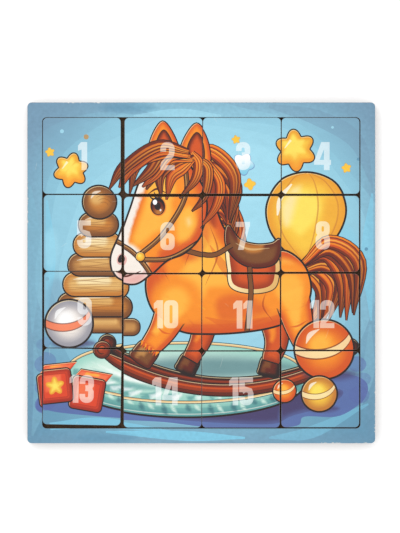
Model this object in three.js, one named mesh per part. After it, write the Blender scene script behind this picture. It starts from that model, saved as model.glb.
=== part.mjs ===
// Sliding tile puzzle for a child: a tray made of a hardboard back with a printed frame glued on
// it, and sixteen printed tiles that lie loose in the tray. The frame and the tiles are laser cut
// from one printed sheet, so they are equally thick and the picture runs on from one to the next.
//
// Millimetres. +X runs to the right along a row of tiles, +Y away from the player, +Z up.
// The origin is at the middle of the underside.
import * as THREE from 'three';

// ---- driving sizes ---------------------------------------------------------------------------
const BOARD_WIDTH = 175; // back and frame, left to right
const BOARD_DEPTH = 171.5; // back and frame, near edge to far edge
const BORDER = 7.5; // width of the frame on all four sides
const BACK_THICKNESS = 3; // hardboard
const SHEET_THICKNESS = 3; // printed sheet of the frame and the tiles
const FRAME_CORNER_RADIUS = 2.2; // outer and inner corners of the frame
const TILE_CORNER_RADIUS = 2.2;
const TILES_PER_SIDE = 4;
const ROW_PLAY = 3.2; // free space that a full row or column of tiles leaves in the tray

// How that free space is shared among the five gaps of each row, from the left wall to the right
// wall, with row 1 at the far side. Only the proportions count.
const ROW_GAP_SHARES = [
  [0.3, 1.9, 0.25, 0.35, 0.4],
  [0.7, 1.2, 0.4, 0.3, 0.6],
  [0.9, 0.75, 0.35, 0.55, 0.65],
  [0.45, 1.3, 0.15, 0.75, 0.55],
];
// The same for each column, from the far wall to the near wall, with column 1 at the left.
const COLUMN_GAP_SHARES = [
  [0.2, 0.5, 0.25, 0.5, 1.75],
  [0.2, 1.45, 0.65, 0.5, 0.4],
  [0.15, 1.15, 1.0, 0.5, 0.4],
  [0.2, 0.95, 0.85, 0.65, 0.55],
];
// One tile lies askew in its cell, turned clockwise: a corner moves this part of the row's play.
const ASKEW_TILE = 13;
const ASKEW_SHARE = 0.105;

// ---- sizes that follow -----------------------------------------------------------------------
const FIELD_WIDTH = BOARD_WIDTH - 2 * BORDER;
const FIELD_DEPTH = BOARD_DEPTH - 2 * BORDER;
const TILE_WIDTH = (FIELD_WIDTH - ROW_PLAY) / TILES_PER_SIDE;
const TILE_DEPTH = (FIELD_DEPTH - ROW_PLAY) / TILES_PER_SIDE;
const ASKEW_TURN = -Math.asin((ASKEW_SHARE * ROW_PLAY) / (TILE_DEPTH / 2));

const ARC_SEGMENTS = 6; // flat steps round each quarter-circle corner

// ---- finishes --------------------------------------------------------------------------------
const FINISHES = {
  back: { color: 0x6b4a31, roughness: 0.75, metalness: 0 },
  print: { color: 0x86bfd8, roughness: 0.45, metalness: 0 },
};

// ---- outlines and plates ---------------------------------------------------------------------
/** Draws a rectangle with round corners, centred on the origin, on a Shape or a Path. */
function roundedRectangle(path, width, depth, radius) {
  const x = width / 2;
  const y = depth / 2;
  path.moveTo(-x + radius, -y);
  path.lineTo(x - radius, -y);
  path.absarc(x - radius, -y + radius, radius, -Math.PI / 2, 0, false);
  path.lineTo(x, y - radius);
  path.absarc(x - radius, y - radius, radius, 0, Math.PI / 2, false);
  path.lineTo(-x + radius, y);
  path.absarc(-x + radius, y - radius, radius, Math.PI / 2, Math.PI, false);
  path.lineTo(-x, -y + radius);
  path.absarc(-x + radius, -y + radius, radius, Math.PI, 1.5 * Math.PI, false);
  return path;
}

/** Makes a flat plate from an outline, its underside on the XY plane. */
function plate(shape, thickness) {
  return new THREE.ExtrudeGeometry(shape, {
    depth: thickness,
    steps: 1,
    bevelEnabled: false,
    curveSegments: ARC_SEGMENTS,
  });
}

/** Makes a named mesh with a finish of its own. */
function piece(name, geometry, finish) {
  const mesh = new THREE.Mesh(geometry, new THREE.MeshStandardMaterial(FINISHES[finish]));
  mesh.name = name;
  return mesh;
}

// ---- the tray --------------------------------------------------------------------------------
/** The hardboard back, which the frame is glued on and the tiles lie on. */
function makeBack() {
  const outline = roundedRectangle(
    new THREE.Shape(), BOARD_WIDTH, BOARD_DEPTH, FRAME_CORNER_RADIUS);
  return piece('back_board', plate(outline, BACK_THICKNESS), 'back');
}

/** The printed frame, which keeps the tiles in. */
function makeFrame() {
  const outline = roundedRectangle(
    new THREE.Shape(), BOARD_WIDTH, BOARD_DEPTH, FRAME_CORNER_RADIUS);
  outline.holes.push(roundedRectangle(
    new THREE.Path(), FIELD_WIDTH, FIELD_DEPTH, FRAME_CORNER_RADIUS));
  const frame = piece('frame', plate(outline, SHEET_THICKNESS), 'print');
  frame.position.z = BACK_THICKNESS;
  return frame;
}

// ---- the tiles -------------------------------------------------------------------------------
/** Gives the free space before each tile of a line, added up from the first wall. */
function playBefore(shares, count) {
  const total = shares.reduce((sum, share) => sum + share, 0);
  const before = shares.slice(0, count + 1).reduce((sum, share) => sum + share, 0);
  return (ROW_PLAY * before) / total;
}

/** Gives the middle of the tile in a row and a column, both counted from 0. */
function tileCentre(row, column) {
  const fromLeft = playBefore(ROW_GAP_SHARES[row], column) + (column + 0.5) * TILE_WIDTH;
  const fromFar = playBefore(COLUMN_GAP_SHARES[column], row) + (row + 0.5) * TILE_DEPTH;
  return new THREE.Vector2(fromLeft - FIELD_WIDTH / 2, FIELD_DEPTH / 2 - fromFar);
}

/** Makes one loose tile, where it lies in the tray. */
function makeTile(number) {
  const row = Math.floor((number - 1) / TILES_PER_SIDE);
  const column = (number - 1) % TILES_PER_SIDE;
  const outline = roundedRectangle(
    new THREE.Shape(), TILE_WIDTH, TILE_DEPTH, TILE_CORNER_RADIUS);
  const name = `tile_${String(number).padStart(2, '0')}`;
  const tile = piece(name, plate(outline, SHEET_THICKNESS), 'print');
  const centre = tileCentre(row, column);
  tile.position.set(centre.x, centre.y, BACK_THICKNESS);
  tile.rotation.z = number === ASKEW_TILE ? ASKEW_TURN : 0;
  return tile;
}

// ---- assembly --------------------------------------------------------------------------------
const puzzle = new THREE.Group();
puzzle.name = 'sliding_tile_puzzle';

const tray = new THREE.Group();
tray.name = 'tray';
tray.add(makeBack(), makeFrame());
puzzle.add(tray);

const tiles = new THREE.Group();
tiles.name = 'tiles';
for (let number = 1; number <= TILES_PER_SIDE ** 2; number += 1) {
  tiles.add(makeTile(number));
}
puzzle.add(tiles);

export default puzzle;
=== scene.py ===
"""A child's sliding tile puzzle: sixteen printed tiles loose in a framed tray on a hardboard back.

The frame and the tiles are laser cut from one printed sheet, so one drawing covers them all. Each
piece is a patch of that drawing, triangulated along its outlines, and one Geometry Nodes tree gives
every patch its thickness, eased rims, charred edge and underside.
"""

import logging
import math
import random
from collections.abc import Callable
from dataclasses import dataclass, field
from enum import Enum
from functools import cached_property
from typing import ClassVar

import bpy
import numpy as np
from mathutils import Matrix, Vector
from mathutils.geometry import delaunay_2d_cdt


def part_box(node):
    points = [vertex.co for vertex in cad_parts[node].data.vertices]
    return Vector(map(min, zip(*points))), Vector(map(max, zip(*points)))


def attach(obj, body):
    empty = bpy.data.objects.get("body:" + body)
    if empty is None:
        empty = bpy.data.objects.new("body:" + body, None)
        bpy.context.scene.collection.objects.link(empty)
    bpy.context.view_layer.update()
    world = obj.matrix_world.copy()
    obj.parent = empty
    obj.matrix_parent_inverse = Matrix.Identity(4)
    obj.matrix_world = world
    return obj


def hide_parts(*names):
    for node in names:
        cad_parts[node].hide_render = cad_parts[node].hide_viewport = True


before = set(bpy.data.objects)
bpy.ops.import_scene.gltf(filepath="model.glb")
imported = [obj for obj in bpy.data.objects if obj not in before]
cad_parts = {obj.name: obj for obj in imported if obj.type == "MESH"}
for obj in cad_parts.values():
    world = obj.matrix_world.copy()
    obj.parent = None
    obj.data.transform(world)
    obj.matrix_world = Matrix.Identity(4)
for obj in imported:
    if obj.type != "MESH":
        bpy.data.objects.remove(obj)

LOG = logging.getLogger("tile_puzzle")
MM = 0.001  # metres in a millimetre
EASE = 0.18  # how far the printed face stops short of a cut edge, mm

Point = tuple[float, float]
"""A place on the drawing, in millimetres from the middle of the board, x right and y up."""


# ---- colours ---------------------------------------------------------------------------------
def from_hex(hex_colour: str) -> np.ndarray:
    """Reads an sRGB hex colour's red, green and blue, each up to one."""
    return np.array([int(hex_colour[i : i + 2], 16) / 255 for i in (0, 2, 4)])


class Paint(Enum):
    """The printing inks by name, as sRGB hex."""

    SKY = "93cfe3"
    SKY_PALE = "a4dcee"
    SKY_BRIGHT = "80cbe6"
    SKY_SOFT = "7cb1c8"
    SKY_GREY = "7193ad"
    SKY_DEEP = "588dab"
    DUSK = "5767a4"
    DUSK_DEEP = "463c66"
    WHITE = "ffffff"
    CREAM = "fbe6b2"
    IVORY = "f6ece2"
    STRAW = "fde35f"
    YELLOW = "f9c63f"
    AMBER = "eb9f2b"
    OCHRE = "c37a30"
    ORANGE = "f88f20"
    ORANGE_LIGHT = "ffb840"
    RUST = "d5541a"
    RUSSET = "9c3614"
    CHESTNUT = "5f2013"
    TAN = "c28a4a"
    TAN_LIGHT = "e3b36a"
    BROWN = "7c4a24"
    INK = "231818"
    MINT = "9dd3c4"
    MINT_PALE = "d4eee0"
    MINT_DEEP = "5b9c9a"
    TEAL = "2b5c69"
    RED = "df4524"
    RED_LIGHT = "f5764a"
    MAROON = "a02a1a"
    GREY = "9c9aa2"
    ROSE = "e6aca4"

    @cached_property
    def rgb(self) -> np.ndarray:
        """The colour's red, green and blue, each up to one."""
        return from_hex(self.value)


class Coat(Enum):
    """Inks that go together on one thing: in its shade, on its body and in its light."""

    TANGERINE = (Paint.RUST, Paint.ORANGE, Paint.ORANGE_LIGHT)
    FAR_LEG = (Paint.RUSSET, Paint.RUST, Paint.ORANGE)
    HOOF = (Paint.CHESTNUT, Paint.BROWN, Paint.TAN)
    FAR_HOOF = (Paint.INK, Paint.CHESTNUT, Paint.BROWN)
    LEATHER = (Paint.CHESTNUT, Paint.BROWN, Paint.OCHRE)
    RUNNER = (Paint.CHESTNUT, Paint.RUSSET, Paint.RUST)
    FAR_RUNNER = (Paint.INK, Paint.CHESTNUT, Paint.RUSSET)
    GOLD = (Paint.AMBER, Paint.YELLOW, Paint.STRAW)
    OAK = (Paint.BROWN, Paint.OCHRE, Paint.TAN_LIGHT)
    PINE = (Paint.OCHRE, Paint.TAN_LIGHT, Paint.CREAM)
    BEECH = (Paint.BROWN, Paint.TAN, Paint.TAN_LIGHT)
    MAT = (Paint.MINT_DEEP, Paint.MINT, Paint.MINT_PALE)
    BLOCK = (Paint.MAROON, Paint.RED, Paint.RED_LIGHT)
    LID = (Paint.RED, Paint.RED_LIGHT, Paint.ORANGE_LIGHT)
    WHITE_BALL = (Paint.GREY, Paint.IVORY, Paint.WHITE)
    YELLOW_BALL = (Paint.OCHRE, Paint.YELLOW, Paint.STRAW)


class Shading(Enum):
    """How a fill runs from its first ink to its second."""

    FLAT = "the first ink alone"
    SWEEP = "along a straight line"
    GLOW = "outwards from a point"
    PILLOW = "inwards from the outline"


def to_linear(values: np.ndarray) -> np.ndarray:
    """Turns sRGB values into linear ones."""
    return np.where(values <= 0.04045, values / 12.92, ((values + 0.055) / 1.055) ** 2.4)


# ---- outlines --------------------------------------------------------------------------------
@dataclass(frozen=True, eq=False)
class Outline:
    """A closed line on the drawing, run anticlockwise."""

    points: np.ndarray

    @classmethod
    def through(cls, points: list[Point] | np.ndarray) -> "Outline":
        """Makes an outline from its corners in order, either way round."""
        corners = np.asarray(points, float)
        x, y = corners.T
        twice_area = np.dot(x, np.roll(y, -1)) - np.dot(y, np.roll(x, -1))
        return cls(corners if twice_area > 0 else corners[::-1].copy())

    @cached_property
    def outward(self) -> np.ndarray:
        """The unit direction out of the outline at each point."""
        along = np.roll(self.points, -1, 0) - np.roll(self.points, 1, 0)
        along /= np.maximum(np.linalg.norm(along, axis=1, keepdims=True), 1e-9)
        return np.stack([along[:, 1], -along[:, 0]], 1)

    @cached_property
    def loop(self) -> np.ndarray:
        """The points, begun and ended within the longest straight step, where nothing tangles."""
        steps = np.linalg.norm(np.roll(self.points, -1, 0) - self.points, axis=1)
        turned = np.roll(self.points, -int(steps.argmax()) - 1, 0)
        return np.concatenate([turned, [(turned[0] + turned[-1]) / 2]])

    @cached_property
    def box(self) -> tuple[np.ndarray, np.ndarray]:
        """The lowest and the highest corner of the box round it."""
        return self.points.min(0), self.points.max(0)

    def moved(self, right: float, up: float) -> "Outline":
        """Returns a copy shifted by so much."""
        return Outline(self.points + (right, up))

    def grown(self, amount: float) -> "Outline":
        """Returns a copy whose line lies further out by an amount."""
        return Outline(self.points + self.outward * amount)

    def scaled(self, share: float, shift: Point = (0.0, 0.0)) -> "Outline":
        """Returns a copy scaled about its middle and shifted."""
        middle = self.points.mean(0)
        return Outline((self.points - middle) * share + middle + shift)

    def depth(self, places: np.ndarray, batch: int = 2000) -> np.ndarray:
        """Measures how far each place is from the line.

        Args:
            places: The places, one a row.
            batch: About how many are measured at a time, to spare memory.

        Returns:
            One distance for each place.
        """
        if len(places) > 2 * batch:
            parts = np.array_split(places, len(places) // batch)
            return np.concatenate([self.depth(part, batch) for part in parts])
        start = self.points[None]
        run = np.roll(self.points, -1, 0)[None] - start
        offset = places[:, None] - start
        share = (offset * run).sum(2) / np.maximum((run * run).sum(2), 1e-12)
        nearest = offset - np.clip(share, 0, 1)[..., None] * run
        return np.sqrt((nearest**2).sum(2).min(1, initial=1e6))


Outlines = tuple[Outline, ...]
"""Some outlines that go together."""


def smooth_run(points: list[Point], closed: bool, steps: int = 7) -> np.ndarray:
    """Runs a smooth curve through points.

    Args:
        points: The points that the curve passes.
        closed: Whether it comes back to the first.
        steps: Straight steps from each point to the next.

    Returns:
        The points of the curve.
    """
    knots = np.asarray(points, float)
    before, after = knots[-1:], knots[:2]
    if not closed:
        before, after = 2 * knots[:1] - knots[1:2], 2 * knots[-1:] - knots[-2:-1]
    ring = np.concatenate([before, knots, after])
    share = np.arange(steps)[:, None] / steps
    run = []
    for a, b, c, d in zip(ring, ring[1:], ring[2:], ring[3:]):
        bend = (2 * a - 5 * b + 4 * c - d) * share**2 + (3 * b - a - 3 * c + d) * share**3
        run.append(b + 0.5 * ((c - a) * share + bend))
    return np.concatenate(run if closed else run + [knots[-1:]])


def blob(points: list[Point], steps: int = 7) -> Outline:
    """Makes a smooth closed outline through points."""
    return Outline.through(smooth_run(points, closed=True, steps=steps))


THINNEST = 0.06  # the least width of a brush stroke, mm


def ribbon(
    points: list[Point], widths: list[float], steps: int = 6, lean: float = 0.0, share: float = 1.0
) -> Outline:
    """Makes the outline of a brush stroke, or of a strand within one.

    Args:
        points: The middle of the stroke.
        widths: Its width at each point.
        steps: Straight steps from each point to the next.
        lean: How far to the left of the middle the strand runs, in widths.
        share: The strand's part of the width.

    Returns:
        The outline round the stroke.
    """
    track = smooth_run([(*p, w) for p, w in zip(points, widths)], closed=False, steps=steps)
    middle, width = track[:, :2], np.maximum(track[:, 2:], THINNEST)
    along = np.gradient(middle, axis=0)
    along /= np.maximum(np.linalg.norm(along, axis=1, keepdims=True), 1e-9)
    side = np.stack([-along[:, 1], along[:, 0]], 1) * width
    middle = middle + side * lean
    side = side * share / 2
    return Outline.through(np.concatenate([middle + side, (middle - side)[::-1]]))


def sector(centre: Point, radii: Point, start: float, end: float, steps: int) -> list[Point]:
    """Gives the points of an arc, its angles in degrees from the right, anticlockwise."""
    angles = np.radians(np.linspace(start, end, steps))
    return [(centre[0] + radii[0] * math.cos(a), centre[1] + radii[1] * math.sin(a)) for a in angles]


def turned(points: list[Point], turn: float) -> np.ndarray:
    """Turns points about the origin, anticlockwise by some degrees."""
    cos, sin = math.cos(math.radians(turn)), math.sin(math.radians(turn))
    return np.array(points) @ np.array([[cos, sin], [-sin, cos]])


def ellipse(centre: Point, radii: Point, turn: float = 0.0, steps: int = 44) -> Outline:
    """Makes an ellipse, turned anticlockwise by some degrees."""
    return Outline(turned(sector((0, 0), radii, 0, 360, steps + 1)[:-1], turn) + centre)


def round_box(centre: Point, size: Point, radius: float, turn: float = 0.0, steps: int = 7) -> Outline:
    """Makes a rectangle with round corners, turned anticlockwise by some degrees."""
    x, y = size[0] / 2 - radius, size[1] / 2 - radius
    corners = ((x, y, 0), (-x, y, 90), (-x, -y, 180), (x, -y, 270))
    ring = [
        p
        for right, up, a in corners
        for p in sector((right, up), (radius, radius), a, a + 90, steps)
    ]
    return Outline(turned(ring, turn) + centre)


def lobed_star(centre: Point, radius: float, lobes: int, turn: float, waist: float = 0.7) -> Outline:
    """Makes a star with round lobes, whose waist is a share of its radius."""
    angles = np.linspace(0, 2 * math.pi, lobes * 14, endpoint=False)
    swing = (1 + np.cos(lobes * (angles - math.radians(turn)))) / 2
    reach = radius * (waist + (1 - waist) * swing**0.8)
    return Outline(np.stack([reach * np.cos(angles), reach * np.sin(angles)], 1) + centre)


def cell_middle(index: int, cells: tuple[int, int], size: Point) -> Point:
    """Gives the middle of a cell of a field, counted from 0 along the rows from the top."""
    row, column = divmod(index, cells[0])
    x = (column + 0.5) * size[0] / cells[0] - size[0] / 2
    return x, size[1] / 2 - (row + 0.5) * size[1] / cells[1]


# ---- fills and layers ------------------------------------------------------------------------
@dataclass(frozen=True)
class Fill:
    """Ink laid inside an outline."""

    first: Paint
    second: Paint | None = None
    shading: Shading = Shading.FLAT
    start: Point = (0.0, 0.0)
    end: Point = (0.0, 0.0)
    reach: float = 4.0
    cover: Point = (1.0, 1.0)  # how opaque the first ink and the second are

    @classmethod
    def thin(cls, ink: Paint, cover: float) -> "Fill":
        """Makes an even fill of half-clear ink."""
        return cls(ink, cover=(cover, cover))

    @classmethod
    def soft(cls, ink: Paint, cover: float, reach: float) -> "Fill":
        """Makes a fill that fades out towards its outline."""
        return cls(ink, ink, Shading.PILLOW, reach=reach, cover=(0.0, cover))

    def mix(self, outline: Outline, places: np.ndarray) -> tuple[np.ndarray, np.ndarray]:
        """Works out the ink at some places.

        Args:
            outline: The outline that the ink fills.
            places: The places, one a row.

        Returns:
            Their colours, and how opaque the ink is at each.
        """
        share = np.clip(self._share(outline, places), 0, 1)[:, None]
        share = share * share * (3 - 2 * share)
        second = (self.second or self.first).rgb
        colour = (1 - share) * self.first.rgb + share * second
        return colour, (1 - share) * self.cover[0] + share * self.cover[1]

    def _share(self, outline: Outline, places: np.ndarray) -> np.ndarray:
        """Says how far each place is from the first ink to the second."""
        if self.shading is Shading.SWEEP:
            run = np.subtract(self.end, self.start)
            return (places - self.start) @ run / (run @ run)
        if self.shading is Shading.GLOW:
            return np.linalg.norm(places - self.start, axis=1) / self.reach
        if self.shading is Shading.PILLOW:
            return outline.depth(places) / self.reach
        return np.zeros(len(places))


Part = tuple[Outline, Outlines]
"""An outline with the outlines that are cut out of it."""


@dataclass(frozen=True)
class Layer:
    """A fill on one or more parts, inside all of some outlines."""

    parts: tuple[Part, ...]
    fill: Fill
    within: Outlines = ()

    NOT_TANGLED: ClassVar[float] = 0.93  # a point nearer the line than this share of its inset goes

    @property
    def outlines(self) -> list[Outline]:
        """Every outline that bounds the fill."""
        return [outline for part in self.parts for outline in (part[0], *part[1])] + list(self.within)

    @cached_property
    def stipple(self) -> np.ndarray:
        """Points a little inside the outline, which carry shading that follows it."""
        outline = self.parts[0][0]
        rings = [np.zeros((0, 2))]
        if self.fill.shading is Shading.PILLOW:
            for share in (0.3, 0.65, 1.0):
                inset = share * self.fill.reach
                ring = outline.points[::2] - outline.outward[::2] * inset
                rings.append(ring[outline.depth(ring) > inset * self.NOT_TANGLED])
        return np.concatenate(rings)

    def covers(self, lies_in: dict[int, np.ndarray]) -> np.ndarray:
        """Says which regions the fill covers.

        Args:
            lies_in: For each outline, by its id, one truth value a region: whether it lies inside.

        Returns:
            One truth value for each region.
        """
        covered = [
            np.all([lies_in[id(outline)], *(~lies_in[id(cut)] for cut in cuts)], axis=0)
            for outline, cuts in self.parts
        ]
        within = [lies_in[id(outline)] for outline in self.within]
        return np.all([np.any(covered, axis=0), *within], axis=0)


# ---- the picture -----------------------------------------------------------------------------
@dataclass
class Drawing:
    """The whole printed picture, as layers from the bottom up."""

    size: Point
    cells: tuple[int, int]  # columns and rows
    field_size: Point
    layers: list[Layer] = field(default_factory=list)

    LINE_LEAST: ClassVar[float] = 0.35  # the dark line round a body, mm
    LINE_GROWTH: ClassVar[float] = 0.09  # what a mm of shade adds to it
    LINE_MOST: ClassVar[float] = 1.0
    LIT_RIM: ClassVar[float] = 0.38  # the width of a body's lit rim, mm
    GLOW_COVER: ClassVar[float] = 0.9  # how opaque a body's soft light is
    SHADE_COVER: ClassVar[float] = 0.42  # and each step of its shade
    RIM_COVER: ClassVar[float] = 0.7  # and its lit rim
    EYE: ClassVar[Point] = (-22.6, 34.0)  # the middle of the horse's eye
    LOCKS: ClassVar[tuple] = (  # the root's ink and the tip's, lock by lock in turn
        (Paint.RUST, Paint.RUSSET), (Paint.RUSSET, Paint.CHESTNUT), (Paint.RUST, Paint.CHESTNUT),
    )
    STRANDS: ClassVar[tuple] = (  # lean, share of the lock's width, ink and cover
        (-0.40, 0.20, Paint.CHESTNUT, 0.8), (-0.12, 0.20, Paint.ORANGE, 0.85),
        (0.0, 0.07, Paint.CHESTNUT, 0.7), (0.14, 0.12, Paint.ORANGE_LIGHT, 0.8),
        (0.28, 0.08, Paint.INK, 0.6), (0.40, 0.12, Paint.ORANGE, 0.8),
    )

    def __post_init__(self) -> None:
        """Draws everything, from what lies furthest back."""
        self.sky()
        self.stars()
        self.ring_stack()
        self.balloon()
        self.ground()
        self.mat()
        self.rocking_horse()
        self.blocks()
        self.balls()
        self.numbers()
        self.wear()

    # -- drawing tools --
    def lay(self, outline: Outline, fill: Fill, within: Outlines = (), outside: Outlines = (),
            clear: Outlines = ()) -> Outline:
        """Adds a layer on top.

        Args:
            outline: The outline that the fill covers.
            fill: The ink.
            within: Outlines that the fill stays inside.
            outside: Outlines that it stays out of.
            clear: Outlines whose common area it stays out of.

        Returns:
            The outline.
        """
        parts = tuple((outline, (*outside, cut)) for cut in clear) or ((outline, outside),)
        self.layers.append(Layer(parts, fill, within))
        return outline

    def solid(
        self, outline: Outline, coat: Coat, light: Point = (-1.2, 1.5), reach: float = 5.0,
        glow: float = 0.55, within: Outlines = (), clear: Outlines = ()
    ) -> Outline:
        """Draws a rounded body: its line, its shade in steps, a soft light and a lit rim.

        Args:
            outline: The body's outline.
            coat: Its inks.
            light: The way to the light; its length is the width of the shade.
            reach: How deep the shade runs in from the edge.
            glow: The size of the soft light as a share of the body.
            within: Outlines that it stays inside.
            clear: Outlines in whose common area it melts into what lies under it.

        Returns:
            The body's outline.
        """
        deep, base, pale = coat.value
        line = min(self.LINE_MOST, self.LINE_LEAST + reach * self.LINE_GROWTH)
        self.lay(outline.grown(line), Fill(Paint.INK), within, clear=clear)
        self.lay(outline, Fill(deep, base, Shading.PILLOW, reach=reach), within, clear=clear)
        middle = outline.scaled(glow, light)
        self.lay(middle, Fill.soft(pale, self.GLOW_COVER, reach * 0.6), (outline, *within), clear=clear)
        for share in (1.0, 0.5):
            shaded = outline.moved(light[0] * share, light[1] * share)
            self.lay(outline, Fill.thin(deep, self.SHADE_COVER), within, (shaded,), clear)
        rim = -self.LIT_RIM / math.hypot(*light)
        lit = outline.moved(light[0] * rim, light[1] * rim)
        self.lay(outline, Fill.thin(Paint.CREAM, self.RIM_COVER), within, (lit,), clear)
        return outline

    def stroke(
        self, points: list[Point], widths: list[float], ink: Paint = Paint.WHITE, cover: float = 0.7,
        within: Outlines = ()
    ) -> None:
        """Draws one brush stroke in half-clear ink."""
        self.lay(ribbon(points, widths), Fill.thin(ink, cover), within)

    def strokes(
        self, runs: tuple[list[Point], ...], widths: list[float], ink: Paint, cover: float,
        within: Outlines = ()
    ) -> None:
        """Draws several brush strokes that are alike."""
        for points in runs:
            self.stroke(points, widths, ink, cover, within)

    def wash(
        self, points: list[Point], widths: list[float], ink: Paint, cover: float, reach: float,
        within: Outlines = (), outside: Outlines = ()
    ) -> None:
        """Draws a brush stroke that fades out at its edge."""
        self.lay(ribbon(points, widths), Fill.soft(ink, cover, reach), within, outside)

    def soft(
        self, points: list[Point], ink: Paint, cover: float, reach: float, within: Outlines = ()
    ) -> None:
        """Draws a patch through points that fades out at its edge."""
        self.lay(blob(points), Fill.soft(ink, cover, reach), within)

    def spot(
        self, centre: Point, radii: Point, fill: Fill, turn: float = 0.0, steps: int = 44,
        within: Outlines = ()
    ) -> Outline:
        """Fills an ellipse."""
        return self.lay(ellipse(centre, radii, turn, steps), fill, within)

    def strap(self, points: list[Point], width: float, within: Outlines) -> None:
        """Draws a leather strap between two dark lines."""
        for breadth, ink in ((width + 0.9, Paint.INK), (width, Paint.BROWN)):
            self.stroke(points, [breadth] * len(points), ink, 1.0, within)

    def hair(
        self, first: list[Point], last: list[Point], widths: list[float], count: int, seed: int,
        stray: float = 0.9
    ) -> None:
        """Draws a bunch of hair as locks that overlap, each with lit and dark strands.

        Args:
            first: The run of the first lock, root to tip.
            last: The run of the last lock, which lies on top.
            widths: A lock's width along its run.
            count: The number of locks.
            seed: The seed of their small differences.
            stray: How far a lock strays from its run, most at the tip.
        """
        chance = random.Random(seed)
        for lock in range(count):
            share = lock / (count - 1)
            run = [
                tuple(
                    (1 - share) * a + share * b + chance.uniform(-stray, stray) * (1 + place / 3)
                    for a, b in zip(*ends)
                )
                for place, ends in enumerate(zip(first, last))
            ]
            root, tip = self.LOCKS[lock % len(self.LOCKS)]
            self.lay(ribbon(run, [width + 0.8 for width in widths]), Fill(Paint.INK))
            dye = Fill(root, tip, Shading.SWEEP, run[0], run[-1])
            body = self.lay(ribbon(run, widths), dye)
            for lean, part, ink, cover in self.STRANDS:
                strand = ribbon(run, widths, lean=lean + chance.uniform(-0.05, 0.05), share=part)
                fading = Fill(ink, ink, Shading.SWEEP, run[0], run[-1], cover=(cover, cover * 0.4))
                self.lay(strand, fading, (body,))

    # -- the background --
    def sky(self) -> None:
        """Washes the sheet in blues, darker and greyer to the corners, with broad brush marks."""
        sheet = round_box((0, 0), (self.size[0] + 4, self.size[1] + 4), 2)
        self.lay(sheet, Fill(Paint.SKY_PALE, Paint.SKY_SOFT, Shading.GLOW, start=(6, 26), reach=112))
        for centre, ink, reach, cover in (
            ((-94, 92), Paint.SKY_GREY, 57, 0.95), ((96, 92), Paint.SKY_GREY, 50, 0.95),
            ((98, -86), Paint.SKY_DEEP, 84, 0.9), ((-98, -84), Paint.SKY_DEEP, 78, 0.85),
        ):
            self.lay(sheet, Fill(ink, ink, Shading.GLOW, start=centre, reach=reach, cover=(cover, 0)))
        self.lay(sheet, Fill(Paint.SKY_GREY, Paint.SKY_GREY, Shading.PILLOW, reach=15, cover=(0.5, 0)))
        for reach, ink, cover in (
            (83, Paint.SKY, 0.3), (75.5, Paint.SKY_PALE, 0.26), (67, Paint.SKY_PALE, 0.3)
        ):
            ring = np.radians(np.arange(0, 360, 4))
            wave = reach * (1 + 0.035 * np.sin(3 * ring + reach) + 0.02 * np.sin(8 * ring))
            tide = np.stack([wave * np.cos(ring) * 1.06 + 2, wave * np.sin(ring) + 6], 1)
            self.lay(Outline(tide), Fill.thin(ink, cover))
        marks = (
            ([(-92, 58), (-80, 76), (-54, 84), (-22, 79)], [2, 9, 7, 1], Paint.SKY_GREY, 0.3),
            ([(-34, 79), (-11, 80.6), (10, 79)], [1, 4, 1], Paint.SKY_PALE, 0.55),
            ([(34, 84), (58, 78), (78, 66), (86, 44)], [2, 8, 8, 1], Paint.SKY_GREY, 0.35),
            ([(-86, 44), (-84, 12), (-85, -30)], [1, 7, 1], Paint.SKY_SOFT, 0.6),
            ([(-78, 36), (-76, 8), (-78, -20)], [1, 5, 1], Paint.SKY_BRIGHT, 0.55),
            ([(86, 40), (83.5, 10), (85.5, -24)], [1, 6, 1], Paint.SKY_BRIGHT, 0.6),
            ([(-48, -80), (-8, -82), (22, -83)], [1, 5, 1], Paint.SKY_BRIGHT, 0.9),
            ([(-84, -36), (-81, -62), (-85, -82)], [1, 7, 1], Paint.SKY_SOFT, 0.5),
            ([(85, -26), (84, -50), (80, -68)], [1, 6, 0.5], Paint.SKY_SOFT, 0.6),
            ([(34, -83), (56, -80), (84, -66)], [1, 6, 1], Paint.SKY_BRIGHT, 0.45),
            ([(-76, -78), (-50, -76), (-14, -80)], [2, 4, 1], Paint.SKY_BRIGHT, 0.7),
        )
        for points, widths, ink, cover in marks:
            self.lay(ribbon(points, widths, 9), Fill.thin(ink, cover))
        for centre, radii, ink, cover in (
            ((-73, -16), (8, 14), Paint.SKY_GREY, 0.4), ((-76, 12), (6, 12), Paint.SKY_PALE, 0.45),
            ((18, 50), (28, 17), Paint.SKY_PALE, 0.8), ((72, 8), (10, 18), Paint.SKY_BRIGHT, 0.35),
            ((-37, 83), (16, 4.5), Paint.SKY_DEEP, 0.55), ((-48, -83), (18, 4.5), Paint.SKY_DEEP, 0.5),
        ):
            self.spot(centre, radii, Fill.soft(ink, cover, 4))

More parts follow.
